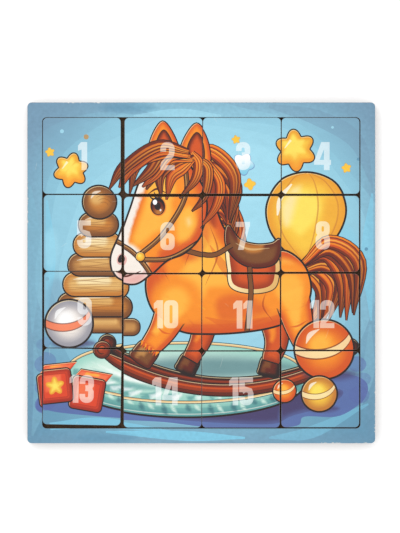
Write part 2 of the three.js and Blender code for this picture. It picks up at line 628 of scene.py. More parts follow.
    def ground(self) -> None:
        """Draws the dusky shadow that the toys stand in, its edge in lobes like brush dabs."""
        for centre, radius, cover in (
            ((-79.6, -36), 3.4, 0.2), ((-78.6, -46), 5.4, 0.36), ((-78.6, -57.6), 5.2, 0.36),
            ((-78.4, -66.4), 5.4, 0.6), ((78.4, -46), 4.6, 0.5), ((81.6, -53.4), 3.8, 0.28),
            ((79.4, -61.4), 5.2, 0.4),
        ):
            self.spot(centre, (radius, radius * 0.84), Fill.thin(Paint.DUSK, cover))
        shadow = blob([
            (-83, -66), (-70, -50), (-20, -50), (40, -50), (78, -52), (83, -62), (70, -72), (52, -72.5),
            (46, -77.5), (8, -78), (-20, -75), (-50, -73.5), (-76, -71)
        ])
        self.lay(shadow, Fill.thin(Paint.DUSK, 0.85))
        core = blob([
            (-56, -62), (0, -62), (66, -58), (66, -66), (46, -72), (36, -76), (10, -75.5), (-22, -73),
            (-48, -69)
        ])
        deep = Paint.DUSK_DEEP
        self.lay(core, Fill(deep, deep, Shading.PILLOW, reach=3, cover=(0.35, 0.95)))

    def stars(self) -> None:
        """Draws the big stars, the small ones, a puff of cloud and the dots between them."""
        for centre, radius, turn in (((47.1, 61.4), 10.4, 95), ((-65.5, 51.4), 8.6, 78)):
            star = self.solid(lobed_star(centre, radius, 6, turn), Coat.GOLD, (-0.5, 1.6), 3.2, 0.7)
            x, y = centre
            low, shine = (x, y - radius * 0.8), (x - radius * 0.5, y + radius * 0.1)
            amber = Fill(Paint.ORANGE, Paint.ORANGE, Shading.SWEEP, low, centre, cover=(0.55, 0))
            self.lay(star, amber)
            self.stroke([shine, (x - radius * 0.2, y + radius * 0.5)], [0.4, 1.2], cover=0.6)
        for centre, radius, lobes in (
            ((17, 66.8), 2.1, 5), ((24, 44.3), 2.9, 4), ((73, 52.5), 2.4, 5), ((-76, 60.5), 2.3, 5)
        ):
            self.lay(lobed_star(centre, radius + 0.25, lobes, 100, 0.66), Fill.thin(Paint.OCHRE, 0.5))
            self.lay(lobed_star(centre, radius, lobes, 100, 0.66), Fill(Paint.YELLOW))
        puff = Fill(Paint.WHITE, Paint.SKY_BRIGHT, Shading.SWEEP, (18.6, 58), (21, 49))
        self.lay(lobed_star((20.6, 54.4), 5.9, 5, 60, 0.74), Fill.thin(Paint.DUSK, 0.5))
        self.lay(lobed_star((20.6, 54.6), 5.5, 5, 60, 0.74), puff)
        for centre, radius, ink in (
            ((-57.8, 68.2), 1.3, Paint.TAN), ((66, 73), 0.7, Paint.SKY_PALE),
            ((-70, 71), 1.0, Paint.SKY_PALE), ((79, 57), 0.8, Paint.SKY_DEEP),
            ((83, 12), 0.9, Paint.SKY_DEEP), ((-78, -4), 1.0, Paint.SKY_SOFT),
        ):
            self.spot(centre, (radius, radius), Fill.thin(ink, 0.8), steps=14)

    # -- the toys --
    def ring_stack(self) -> None:
        """Draws a stack of turned wooden rings that get smaller towards the knob on top."""
        coats = (Coat.OAK, Coat.PINE, Coat.BEECH, Coat.PINE, Coat.OAK)
        self.solid(round_box((-53, -27), (43, 8), 3.6), Coat.BEECH, (-0.6, 1.4), 3)
        pitch, widest, taper = 10.2, 18.5, 2.2  # taper is what each ring's half width loses
        for level, coat in enumerate(coats):
            x, y = -54 + 0.5 * level, -17 + pitch * level
            half = widest - taper * level
            ring = self.solid(round_box((x, y), (2 * half, 11.6), 5.6), coat, (-1.0, 1.9), 4.5, 0.62)
            for line in range(7):
                rise = y + 3.9 - 1.3 * line
                bend = 0.5 * math.cos(line * 2.4 + level)
                grain = [
                    (x - half, rise - 0.4), (x - half * 0.3, rise + bend),
                    (x + half * 0.4, rise - bend), (x + half, rise)
                ]
                self.stroke(grain, [0.1, 0.45, 0.3, 0.1], Paint.BROWN, 0.4, (ring,))
            shine = [(x - half * 0.7, y + 2.4), (x - half * 0.2, y + 3.7), (x + half * 0.4, y + 3.5)]
            self.stroke(shine, [0.3, 1.2, 0.3], Paint.IVORY, 0.6)
        knob = self.solid(ellipse((-51.5, 35.2), (8.2, 8.2)), Coat.OAK, (-1.4, 2.0), 5.5, 0.6)
        for line in range(4):
            reach = 2.6 + 1.7 * line
            grain = sector((-49.5, 32.5), (reach, reach), 130, 20, 7)
            self.stroke(grain, [0.1, *[0.4] * 5, 0.1], Paint.BROWN, 0.4, (knob,))
        self.stroke([(-55.8, 37), (-53.8, 39.8), (-50.5, 41)], [0.4, 1.6, 0.4], Paint.IVORY, 0.75)

    def balloon(self) -> None:
        """Draws a big balloon on a string, behind the horse."""
        self.stroke([(52, 4), (50, -3), (54, -12)], [0.8, 0.7, 0.7], Paint.BROWN, 1.0)
        skin = blob([
            (52, 5), (60, 10), (69.5, 21), (72.5, 33), (67, 45), (53.5, 50), (40, 46), (33, 34),
            (35, 21), (44, 10)
        ])
        self.solid(skin, Coat.GOLD, (-2.4, 3.0), 8, 0.62)
        ribs = (
            [(51, 6), (41, 20), (39, 34), (46, 47), (53, 50)],
            [(53, 6), (57, 20), (59, 34), (57, 45), (54, 50)],
            [(54, 6), (66, 20), (69, 34), (63, 45), (55, 50)],
        )
        self.strokes(ribs, [0.3, 0.7, 0.8, 0.6, 0.3], Paint.OCHRE, 0.55, (skin,))
        self.soft([(57, 8), (66, 20), (71, 33), (63, 44), (59, 30)], Paint.AMBER, 0.6, 5, (skin,))
        self.soft(
            [(40, 22), (38, 33), (44, 44), (52, 45), (50, 34), (46, 22)], Paint.CREAM, 0.75, 5, (skin,)
        )
        self.stroke([(38, 29), (39.5, 37), (45.5, 44.5)], [0.8, 2.6, 0.8], cover=0.75)
        self.solid(blob([(49.4, 2.4), (52, 5.6), (54.6, 2.4), (52, 3.2)]), Coat.GOLD, (-0.4, 0.5), 1)

    def mat(self) -> None:
        """Draws a soft round floor cushion with a corded edge and gathered folds."""
        foot, crown = (-8, -55), (-8, -50)  # the middles of the cushion's side and of its top
        side = self.solid(ellipse(foot, (60, 17.2), steps=80), Coat.MAT, (0.6, 4.2), 7, 0.1)
        top = ellipse(crown, (58.8, 14.7), steps=80)
        seam = sector(foot, (58.6, 16.1), 205, 335, 20)
        self.stroke(seam, [0.1, *[0.5] * 18, 0.1], Paint.IVORY, 0.6)
        self.lay(top.grown(1.3), Fill(Paint.TEAL))
        self.lay(top.grown(0.9), Fill(Paint.CREAM, Paint.TAN, Shading.PILLOW, reach=1.6))
        self.lay(top.grown(-0.2), Fill(Paint.TEAL))
        self.lay(top.grown(-0.5), Fill(Paint.MINT, Paint.MINT_PALE, Shading.PILLOW, reach=8))
        for number, angle in enumerate(range(186, 362, 12)):
            swing = math.cos(number * 2.2)
            (ox, oy), = sector(crown, (57.8, 13.9), angle, angle, 1)
            (ix, iy), = sector(crown, (42 - 5 * swing, 9), angle + 5, angle + 5, 1)
            bx, by = (ox + ix) / 2 + 1.6, (oy + iy) / 2 - 0.6
            gather = [(ox, oy), (bx, by), (ix, iy)]
            fold = [(ox + 4.6, oy), (bx + 3.6, by + 0.3), (ix + 2, iy)]
            self.wash(gather, [5.6, 3.6 + swing, 0.6], Paint.MINT_DEEP, 0.8, 1.5, (top,))
            self.wash(fold, [3.8, 2.8, 0.4], Paint.WHITE, 0.7, 1.2, (top,))
            drop = (oy - crown[1]) / 14 * (6.4 + 1.4 * swing)
            y = oy - 1.4
            gather = [(ox, y), (ox + 0.8, y + drop * 0.5), (ox + 2.6, y + drop)]
            y = oy - 1.6
            fold = [(ox + 3.6, y), (ox + 5.4, y + drop * 0.45), (ox + 8, y + drop * 0.85)]
            self.wash(gather, [1.2, 4.4, 1.8], Paint.TEAL, 0.6, 1.7, (side,), (top,))
            self.wash(fold, [1.0, 3.2, 0.8], Paint.MINT_PALE, 0.9, 1.3, (side,), (top,))
        for points in (
            [(-58, -48), (-36, -56.5), (-6, -59.5)],
            [(4, -58.5), (24, -57), (42, -50)],
            [(-48, -42), (-30, -49), (-10, -51)],
        ):
            above = [(x, y + 3) for x, y in points]
            self.wash(points, [0.8, 5.2, 0.8], Paint.MINT_DEEP, 0.7, 2.2, (top,))
            self.wash(above, [0.6, 3.4, 0.6], Paint.WHITE, 0.7, 1.5, (top,))
        self.spot((4, -47.5), (50, 9), Fill.soft(Paint.TEAL, 0.6, 7), within=(top,))

    def rocking_horse(self) -> None:
        """Draws a wooden rocking horse that looks to the left."""
        self._runner((2.5, 3.4), Coat.FAR_RUNNER)
        self.hair(
            [(50, -2), (57, -3), (60, -15), (55, -29)], [(51, 6), (64, 14), (79, 4), (79, -21)],
            [2.4, 6.5, 6.5, 0.3], 9, 5, 1.3
        )
        for points, widths in (
            ([(2, -16), (0, -32), (-6, -43.5)], [15, 11, 8]),
            ([(34, -14), (38, -32), (35, -44.5)], [16, 12, 8.4])
        ):
            self._hoof(points[1], points[2], 0.86, Coat.FAR_HOOF)
            self.solid(ribbon(points, widths), Coat.FAR_LEG, (-1.0, 0.8), 3.5, 0.4)
        self.hair(
            [(2, 24), (14, 21), (19, 6), (12, -6)], [(-6, 55), (5, 60), (15, 48), (14, 28)],
            [2.4, 6.6, 6.2, 0.3], 9, 11
        )
        barrel = blob([
            (-9, 46), (0, 43), (6, 34), (11, 22), (20, 13), (32, 10), (43, 10.5), (52, 3), (55, -9),
            (50, -20), (38, -26), (22, -29), (4, -30), (-11, -28.5), (-24, -19), (-28, -5), (-23, 9),
            (-18, 24)
        ])
        self.solid(barrel, Coat.TANGERINE, (-2.4, 4.4), 8, 0.5)
        for points, ink, cover in (
            ([(-14, 26), (-4, 38), (4, 30), (6, 16), (-4, 4), (-13, 8)], Paint.RUST, 0.55),
            ([(-30, -6), (-24, 6), (-17, 4), (-14, -10), (-8, -24), (-20, -24)], Paint.RUST, 0.7),
            ([(-13, 2), (-6, 8), (4, 2), (4, -12), (-6, -18), (-13, -10)], Paint.ORANGE_LIGHT, 0.8),
            ([(6, -12), (18, -8), (30, -12), (36, -20), (22, -25), (8, -25)], Paint.RUST, 0.6),
            ([(36, 8), (46, 8), (52, 0), (50, -12), (40, -10), (36, -2)], Paint.ORANGE_LIGHT, 0.95),
            ([(40, 7), (46, 6.5), (49, 2), (44, 1)], Paint.CREAM, 0.8),
        ):
            self.soft(points, ink, cover, 4.5, (barrel,))
        shades = (
            [(-24, 0), (-17, -12), (-4, -26)], [(2, -22), (16, -26), (34, -22)],
            [(-16, 26), (-12, 14), (-20, 4)], [(4, 14), (12, 2), (26, -12)],
        )
        self.strokes(shades, [0.5, 4.6, 0.5], Paint.RUST, 0.4, (barrel,))
        lights = (
            [(-18, -2), (-10, -12), (2, -18)], [(40, 6), (47, -2), (47, -12)],
            [(-4, 24), (2, 14), (0, 4)],
        )
        self.strokes(lights, [0.4, 2.4, 0.4], Paint.YELLOW, 0.4, (barrel,))
        grain = (
            [(-13, 30), (-6, 16), (-9, 4)], [(-20, 2), (-14, -10), (-16, -22)],
            [(4, 24), (8, 10), (2, -6)], [(34, -6), (31, -16), (36, -24)],
        )
        self.strokes(grain, [0.1, 0.9, 0.1], Paint.RUSSET, 0.55, (barrel,))
        self._near_leg([(-13, -14), (-19.5, -28), (-27, -38)], [18, 13.4, 9.6], barrel)
        self._near_leg([(44.5, -7), (49, -25), (53, -38)], [18.5, 14.4, 9.8], barrel)
        self._saddle(barrel)
        self._runner((0, 0), Coat.RUNNER)
        self._head()

    def _runner(self, shift: Point, coat: Coat) -> None:
        """Draws one curved runner, moved right and up by the shift."""
        middle = (12 + shift[0], 60 + shift[1])
        radius, left, right = 119, 238, 301  # the runner's bow, and the angles of its ends
        track = sector(middle, (radius, radius), left, right, 15)
        bow = ribbon(track, [1.5, 4.6, *[5.6] * 11, 4.6, 1.5], 3)
        runner = self.solid(bow, coat, (-0.3, 1.5), 2.4, 0.1)
        for out, tip, width, ink, cover in (
            (-0.8, 0.2, 0.9, coat.value[2], 0.8),
            (1.4, 0.1, 0.4, Paint.INK, 0.5),
        ):
            track = sector(middle, (radius + out, radius + out), left + 2, right - 2, 12)
            self.stroke(track, [tip, *[width] * 10, tip], ink, cover, (runner,))
        for x, y in sector(middle, (radius - 1.4, radius - 1.4), left, right, 2):
            self.solid(ellipse((x, y), (4.2, 4.2), steps=30), coat, (-0.6, 1.0), 2.2, 0.5)
            curl = sector((x, y), (2.2, 2.2), 30, 300, 9)
            self.stroke(curl, [0.2, *[0.6] * 7, 0.2], Paint.INK, 0.7)

    def _hoof(self, knee: Point, ankle: Point, size: float, coat: Coat) -> tuple[Vector, Vector]:
        """Draws a hoof at the end of a leg.

        Args:
            knee: The joint above the ankle.
            ankle: Where the leg ends.
            size: The hoof's size, one for a near hoof.
            coat: Its inks.

        Returns:
            The unit directions down the leg and across it.
        """
        ankle = Vector(ankle)
        run = (ankle - Vector(knee)).normalized()
        side = Vector((-run.y, run.x))
        corners = ((-2, -4.6), (-2, 4.6), (5, 6), (8.4, 5), (8.6, -5), (5, -6))
        hoof = blob([tuple(ankle + (run * down + side * across) * size) for down, across in corners])
        self.solid(hoof, coat, (-1.0, 1.4), 2.8, 0.5)
        shine = ((2, -1), (2, 1.6), (6.5, 2), (6.5, -1))
        self.soft(
            [tuple(ankle + run * down + side * across + Vector((-3, 0.6))) for down, across in shine],
            coat.value[2], 0.6, 1.4, (hoof,)
        )
        return run, side

    def _near_leg(self, points: list[Point], widths: list[float], barrel: Outline) -> None:
        """Draws a near leg with its hoof and the fringe over it.

        Args:
            points: The leg's middle from the top down.
            widths: Its width at those points.
            barrel: The body's outline, which the top of the leg melts into.
        """
        (kx, ky), (ax, ay) = points[1:]
        run, side = self._hoof(points[1], points[2], 1.0, Coat.HOOF)
        top = ellipse(points[0], (widths[0] * 0.7, widths[0] * 0.66))
        shape = ribbon(points, widths, 7)
        leg = self.solid(shape, Coat.TANGERINE, (-1.5, 1.5), 4, 0.5, clear=(top, barrel))
        self.lay(top.grown(3.5), Fill.soft(Paint.ORANGE, 0.97, 6), (barrel,))
        self.lay(top.scaled(0.8, (-0.5, 0.5)), Fill.soft(Paint.ORANGE_LIGHT, 0.85, 6), (barrel,))
        thigh = [points[0], ((points[0][0] + kx) / 2, (points[0][1] + ky) / 2), (kx, ky)]
        self.wash(thigh, [widths[0] * 0.9, widths[0] * 0.7, 5], Paint.ORANGE_LIGHT, 0.9, 3.5)
        back = widths[1] * 0.3
        crease = [
            (kx - side.x * back, ky - side.y * back - 1), (kx, ky - 1.6),
            (kx + side.x * widths[1] * 0.34, ky + side.y * 4)
        ]
        self.stroke(crease, [0.2, 1.0, 0.2], Paint.RUST, 0.7, (leg,))
        for tuft in range(9):
            across = (tuft - 4) * widths[2] * 0.118
            root = (ax + side.x * across - run.x * 1.6, ay + side.y * across - run.y * 1.6)
            fall = 2.7 + 0.8 * (tuft % 2)
            tip = (root[0] + run.x * fall + side.x * 0.4, root[1] + run.y * fall + side.y * 0.4)
            self.stroke([root, tip], [1.9, 0.1], (Paint.ORANGE, Paint.RUST)[tuft % 2], 1.0)

    def _saddle(self, barrel: Outline) -> None:
        """Draws the saddle cloth, the saddle and its girth on the horse's back."""
        cloth = blob([
            (13, 21), (21, 14), (32, 11), (38, 9.5), (39, -1), (36, -8), (25, -10), (15, -7), (13, 2),
            (12, 12)
        ])
        self.lay(cloth.grown(0.5), Fill(Paint.INK), (barrel,))
        self.lay(cloth, Fill(Paint.CREAM, Paint.TAN_LIGHT, Shading.SWEEP, (16, 4), (38, -8)), (barrel,))
        self.lay(cloth.scaled(0.86), Fill(Paint.RUSSET, Paint.RUST, Shading.PILLOW, reach=5), (barrel,))
        seat = blob([
            (13, 24), (19, 17), (27, 14.5), (35, 15), (39, 17), (39, 9), (35, 4), (25, 3), (17, 7),
            (12, 15)
        ])
        self.solid(seat, Coat.LEATHER, (-1.2, 1.8), 3.5, 0.55)
        self.stroke([(17, 15), (24, 12), (34, 12.5)], [0.3, 1.1, 0.3], Paint.CREAM, 0.45)
        for points in ([(24, 3), (25, -10), (23, -29)], [(15, 14), (5, 9), (-10, 12)]):
            self.strap(points, 1.9, (barrel,))

    def _head(self) -> None:
        """Draws the head with its ears, muzzle, eye, bridle and forelock."""
        for points in (
            [(-10, 54), (-11, 64), (-3.5, 75), (3, 65), (3, 50)],
            [(-26, 54), (-27, 65), (-20.5, 76), (-13.5, 66), (-12, 55)],
        ):
            ear = self.solid(blob(points), Coat.TANGERINE, (-0.9, 0.9), 2.6, 0.5)
            inner = ear.scaled(0.56, (0.3, 1.2))
            self.lay(inner.grown(0.4), Fill(Paint.INK))
            self.lay(inner, Fill(Paint.CHESTNUT, Paint.RUST, Shading.PILLOW, reach=2.4))
        self.soft([(-4, 52), (5, 52), (10, 44), (10, 33), (4, 34)], Paint.RUSSET, 1.0, 2.5)
        self.soft([(-1, 42), (4, 44), (8, 36), (8, 22), (2, 26)], Paint.RUSSET, 0.8, 3.0)
        skull = blob([
            (-6, 52), (-13, 58), (-23, 56.5), (-31, 47), (-36, 33), (-41, 19), (-45.5, 7), (-43, -2.5),
            (-34, -5), (-26, 0), (-18, 7), (-9, 11), (-1, 20), (2, 36)
        ])
        self.solid(skull, Coat.TANGERINE, (-2.6, 3.0), 7, 0.5)
        for points, ink, cover in (
            ([(-30, 44), (-24, 50), (-16, 50), (-12, 40), (-20, 28), (-28, 30)], Paint.ORANGE_LIGHT, 0.9),
            ([(-14, 30), (-6, 36), (-1, 26), (-6, 16), (-14, 16)], Paint.ORANGE_LIGHT, 0.95),
            ([(-10, 28), (-6, 30), (-4, 25), (-8, 22)], Paint.CREAM, 0.75),
            ([(-24, 12), (-14, 18), (-10, 12), (-20, 6)], Paint.RUST, 0.7),
        ):
            self.soft(points, ink, cover, 4, (skull,))
        blaze = [(-26, 57), (-33, 40), (-38.5, 22), (-42, 8)]
        self.wash(blaze, [5, 7, 6.5, 9], Paint.IVORY, 1.0, 1.6, (skull,))
        self._muzzle(skull)
        self._eye()
        self._bridle(skull)
        self.hair(
            [(2, 55), (8, 46), (7, 34), (-1, 24)], [(-6, 60), (-2, 56), (-4, 46), (-12, 38)],
            [2.4, 4.8, 4.0, 0.3], 3, 23
        )
        self.hair(
            [(-5, 56), (-12, 53), (-17, 47), (-19, 39)], [(-8, 60), (-23, 64), (-37, 55), (-47, 43)],
            [2.2, 5.6, 5.2, 0.3], 8, 17, 1.2
        )

    def _muzzle(self, skull: Outline) -> None:
        """Draws the pale muzzle, the nostril and the mouth."""
        muzzle = blob([
            (-40, 17), (-33, 15), (-27, 7), (-26, -3), (-34, -8), (-46, -6), (-50, 6), (-46, 15)
        ])
        self.lay(muzzle, Fill.soft(Paint.IVORY, 1.0, 3), (skull,))
        blush = muzzle.scaled(0.95, (1.5, -3))
        self.lay(blush, Fill.soft(Paint.ROSE, 0.6, 5), (skull,), (muzzle.moved(-3.5, 5),))
        self.soft([(-44, 0), (-36, 2), (-28, 0), (-32, -6), (-42, -5)], Paint.ROSE, 0.8, 3, (skull,))
        self.spot((-40.5, 6.5), (2.2, 3.1), Fill.thin(Paint.ROSE, 0.9), -24, 22)
        self.spot((-40.7, 6.7), (1.4, 2.3), Fill(Paint.INK), -24, 22)
        self.stroke([(-43.5, -0.5), (-38, -1.4), (-31, 1.4)], [0.4, 0.9, 0.3], Paint.CHESTNUT, 1.0)

    def _eye(self) -> None:
        """Draws the eye with its lights, lashes and brow."""
        iris = Fill(Paint.OCHRE, Paint.CHESTNUT, Shading.GLOW, (-22.2, 31), reach=4.2)
        self.spot((-22.4, 33.8), (4.4, 5.2), Fill.soft(Paint.RUST, 0.9, 1.2), 8, 34)
        eye = self.spot(self.EYE, (3.7, 4.5), Fill(Paint.INK), 8, 34)
        self.spot((-22.5, 33.2), (2.9, 3.3), iris, 8, 26, (eye,))
        self.spot((-22.7, 34), (1.6, 2.0), Fill(Paint.INK), 8, 20)
        self.spot((-24, 36), (1.1, 1.3), Fill(Paint.WHITE), steps=18)
        self.spot((-21.2, 32), (0.5, 0.6), Fill.thin(Paint.WHITE, 0.85), steps=12)
        for reach, turn in ((2.6, 128), (2.9, 104), (2.7, 80)):
            (x, y), = sector(self.EYE, (3.6, 4.4), turn, turn, 1)
            (tip_x, tip_y), = sector((x, y), (reach, reach), turn + 14, turn + 14, 1)
            lash = [(x, y), ((x + tip_x) / 2 - 0.2, (y + tip_y) / 2), (tip_x, tip_y)]
            self.stroke(lash, [1.0, 0.6, 0.1], Paint.INK, 1.0)
        brow = [(-27.6, 39.6), (-23.4, 42), (-18.6, 40)]
        self.stroke(brow, [0.3, 1.0, 0.3], Paint.CHESTNUT, 1.0)

    def _bridle(self, skull: Outline) -> None:
        """Draws the straps of the bridle and the ring that joins them."""
        for points in (
            [(-44, 16), (-36, 11.5), (-29, 4), (-23, -6)],
            [(-33, 8.5), (-20, 20), (-9, 38), (-9, 54)],
            [(-32, 7), (-16, 8), (0, 17)],
        ):
            self.strap(points, 1.8, (skull,))
            shine = ribbon(points, [1.8] * len(points), lean=0.2, share=0.2)
            self.lay(shine, Fill.thin(Paint.TAN_LIGHT, 0.7), (skull,))
        self.solid(ellipse((-31.4, 8.6), (2.2, 2.2), steps=22), Coat.GOLD, (-0.4, 0.5), 1.2)

    def blocks(self) -> None:
        """Draws two painted building blocks."""
        for centre, side, turn, lobes in (((-57.4, -62.2), 16.2, -9, 0), ((-73.6, -58.5), 16.5, 7, 5)):
            across = turned([(side / 2, 0)], turn)[0]
            corner = turned([(0, side / 2 - 0.8)], turn)[0] + centre
            lean = np.array([side * 0.22, side * 0.24])
            lid = Outline.through([
                corner - across, corner + across, corner + across + lean, corner - across + lean
            ])
            self.solid(lid, Coat.LID, (-0.4, 0.6), 1.5, 0.5)
            front = self.solid(
                round_box(centre, (side, side), 2, turn), Coat.BLOCK, (-1.0, 1.4), 3, 0.6
            )
            groove = round_box(centre, (side - 4, side - 4), 1, turn)
            panel = round_box(centre, (side - 5, side - 5), 0.6, turn)
            self.lay(groove, Fill.thin(Paint.MAROON, 0.5), (front,), (panel,))
            if lobes:
                star = lobed_star(centre, side * 0.29, lobes, turn + 90, 0.6)
                self.lay(star, Fill(Paint.AMBER, Paint.STRAW, Shading.PILLOW, reach=2))

    def balls(self) -> None:
        """Draws the loose balls, each with a band round it."""
        balls = (
            ((-67, -26.5), 11.6, Coat.WHITE_BALL, Paint.RED_LIGHT),
            ((62, -38.5), 14.6, Coat.TANGERINE, Paint.CREAM),
            ((59.5, -61), 8.6, Coat.YELLOW_BALL, Paint.CREAM),
            ((42, -59.5), 5.6, Coat.TANGERINE, Paint.CREAM),
        )
        for (x, y), r, coat, band in balls:
            shadow = Fill.soft(Paint.DUSK_DEEP, 0.8, r * 0.3)
            self.spot((x + r * 0.2, y - r * 0.86), (r * 1.1, r * 0.34), shadow)
            body = ellipse((x, y), (r, r), steps=56)
            ball = self.solid(body, coat, (-r * 0.13, r * 0.17), r * 0.7, 0.6)
            for low, high, ink, cover in (
                (0.62, 0.92, band, 0.85),
                (0.58, 0.63, Paint.CHESTNUT, 0.6),
                (0.91, 0.96, Paint.CHESTNUT, 0.6),
            ):
                below, above = (
                    ellipse((x - r * 0.28, y + r * rise), (r * 1.25, r * 0.95))
                    for rise in (low, high)
                )
                self.lay(below, Fill.thin(ink, cover), (ball,), (above,))
            shine = [
                (x - r * 0.62, y + r * 0.2), (x - r * 0.48, y + r * 0.5), (x - r * 0.16, y + r * 0.7)
            ]
            self.stroke(shine, [0.3, r * 0.17, 0.3], within=(ball,))

    # -- the numbers --
    def numbers(self) -> None:
        """Lays a half-clear white number on each cell that has a shift: all but the last."""
        face = NumberFace()
        for cell, (aside, above) in enumerate(face.shifts):
            x, y = cell_middle(cell, self.cells, self.field_size)
            middle = (x + aside, y + above)
            word = tuple(face.word(cell + 1, middle))
            self.layers.append(Layer(word, Fill.thin(Paint.WHITE, 0.58)))

    # -- use --
    def wear(self) -> None:
        """Scuffs the board's outer edge and lays a few fine scratches on the print."""
        chance = random.Random(31)
        wide, high = self.size[0] / 2, self.size[1] / 2
        for (x, y), (end_x, end_y) in (
            ((-wide + 18, high), (-wide + 42, high)), ((wide - 30, -high), (wide - 4, -high)),
            ((wide, -high + 5), (wide, -high + 26)), ((-wide, high - 60), (-wide, high - 36)),
        ):
            for _ in range(9):
                share, size = chance.random(), chance.uniform(0.3, 1.1)
                bite, turn = chance.uniform(0.2, 0.55), chance.uniform(-12, 12)
                place = (x + (end_x - x) * share, y + (end_y - y) * share)
                radii = (size, bite) if y == end_y else (bite, size)
                self.spot(place, radii, Fill.thin(Paint.IVORY, chance.uniform(0.45, 0.85)), turn, 9)
        for _ in range(12):
            x, y = chance.uniform(-wide, wide), chance.uniform(-high, high)
            turn, reach = chance.uniform(0, math.pi), chance.uniform(0.8, 3.0)
            right, up = reach * math.cos(turn), reach * math.sin(turn)
            scratch = [(x, y), (x + right, y + up * 0.9), (x + 2 * right, y + 2 * up)]
            self.stroke(scratch, [0.08, 0.16, 0.08], Paint.IVORY, 0.4)


